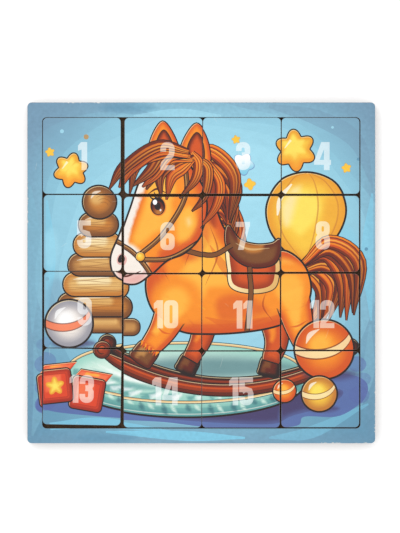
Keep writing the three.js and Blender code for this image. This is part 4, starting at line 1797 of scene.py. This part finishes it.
@dataclass
class Tile:
    """One loose tile, cut from its own cell of the drawing and lying where the frame has it."""

    board: Board
    number: int

    UPRIGHT: ClassVar[float] = 0.1  # the most that a side face's normal may rise
    RIGHTWARD: ClassVar[float] = 0.7  # the least that the right side's normal points right

    @property
    def node(self) -> str:
        """The tile's node and body."""
        return f"tile_{self.number:02d}"

    def _turn(self) -> float:
        """Measures how far the tile is turned, from its largest side face to the right."""
        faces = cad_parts[self.node].data.polygons
        sides = [face for face in faces if abs(face.normal.z) < self.UPRIGHT]
        right = [face for face in sides if face.normal.x > self.RIGHTWARD]
        side = max(right, key=lambda face: face.area)
        return math.degrees(math.atan2(side.normal.y, side.normal.x))

    def build(self) -> bpy.types.Object:
        """Builds the tile, riding on its own body."""
        board, turn = self.board, self._turn()
        cell = np.array(cell_middle(self.number - 1, board.cells, board.field_size))
        low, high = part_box(self.node)
        middle = np.array([(low.x + high.x) / 2, (low.y + high.y) / 2]) / MM
        flat = turned([v.co[:2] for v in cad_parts[self.node].data.vertices], -turn) / MM
        rims = [Rim(tuple(flat.max(0) - flat.min(0)), tuple(cell))]
        piece = board.cutter.cut(
            f"printed_{self.node}", rims, lambda spots: turned(spots - cell, turn) + middle, high.z
        )
        board.slabs.cut(piece, high.z - low.z, board.finishes)
        return settle(piece, self.node, self.node)


def settle(piece: bpy.types.Object, body: str, node: str) -> bpy.types.Object:
    """Puts a piece on its body, in place of a node, and returns it."""
    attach(piece, body)
    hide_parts(node)
    return piece


# ---- the studio ------------------------------------------------------------------------------
@dataclass
class Studio:
    """The floor, the light and the camera straight above the board."""

    board: Board
    distance: float = 0.9
    seen_height: float = 0.2681  # how much of the board's plane the picture's height takes in, metres
    aim: tuple[float, float] = (-0.00065, 0.0032)  # the place on the board under the camera, metres
    sky_strength: float = 0.945
    lamp_power: float = 1.6
    lamp_size: float = 0.6
    lamp_place: tuple[float, float, float] = (-0.45, 0.5, 0.8)
    floor_reach: float = 3.0  # from the board to the floor's sides, metres

    def build(self) -> None:
        """Builds the whole studio."""
        self._floor()
        self._light()
        self._camera()
        bpy.context.scene.view_settings.view_transform = "Standard"

    def _floor(self) -> None:
        """Lays the floor under the board."""
        mesh = bpy.data.meshes.new("floor")
        reach = self.floor_reach
        corners = [(-reach, -reach, 0), (reach, -reach, 0), (reach, reach, 0), (-reach, reach, 0)]
        mesh.from_pydata(corners, [], [(0, 1, 2, 3)])
        mesh.materials.append(StudioFloor().material())
        floor = placed("floor", mesh)

    def _light(self) -> None:
        """Sets a bright even room and one broad soft lamp at the upper left."""
        world = bpy.data.worlds.new("studio")
        bpy.context.scene.world = world
        world.use_nodes = True
        nodes = Nodes(world.node_tree)
        white = {"Color": (1, 1, 1, 1), "Strength": self.sky_strength}
        room = nodes.add("ShaderNodeBackground", {}, white)
        nodes.add("ShaderNodeOutputWorld", {}, {"Surface": room})
        lamp = bpy.data.lights.new("soft_lamp", "AREA")
        lamp.energy, lamp.size = self.lamp_power, self.lamp_size
        holder = placed("soft_lamp", lamp)
        holder.location = self.lamp_place
        holder.rotation_euler = (-holder.location).to_track_quat("-Z", "Y").to_euler()

    def _camera(self) -> None:
        """Hangs the camera above the board, looking straight down."""
        camera = bpy.data.cameras.new("camera")
        above_face = self.distance - self.board.level
        camera.lens = camera.sensor_width * above_face / self.seen_height
        holder = placed("camera", camera)
        holder.location = (*self.aim, self.distance)
        bpy.context.scene.camera = holder


def main() -> None:
    """Builds the studio and the puzzle, and reports each piece."""
    logging.basicConfig(level=logging.INFO, format="%(name)s: %(message)s")
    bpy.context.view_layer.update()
    board = Board()
    Studio(board).build()
    tiles = range(1, math.prod(board.cells) + 1)
    pieces = Tray(board).build() + [Tile(board, number).build() for number in tiles]
    for piece in pieces:
        LOG.info("%s has %d faces", piece.name, len(piece.data.polygons))


if __name__ == "__main__":
    main()
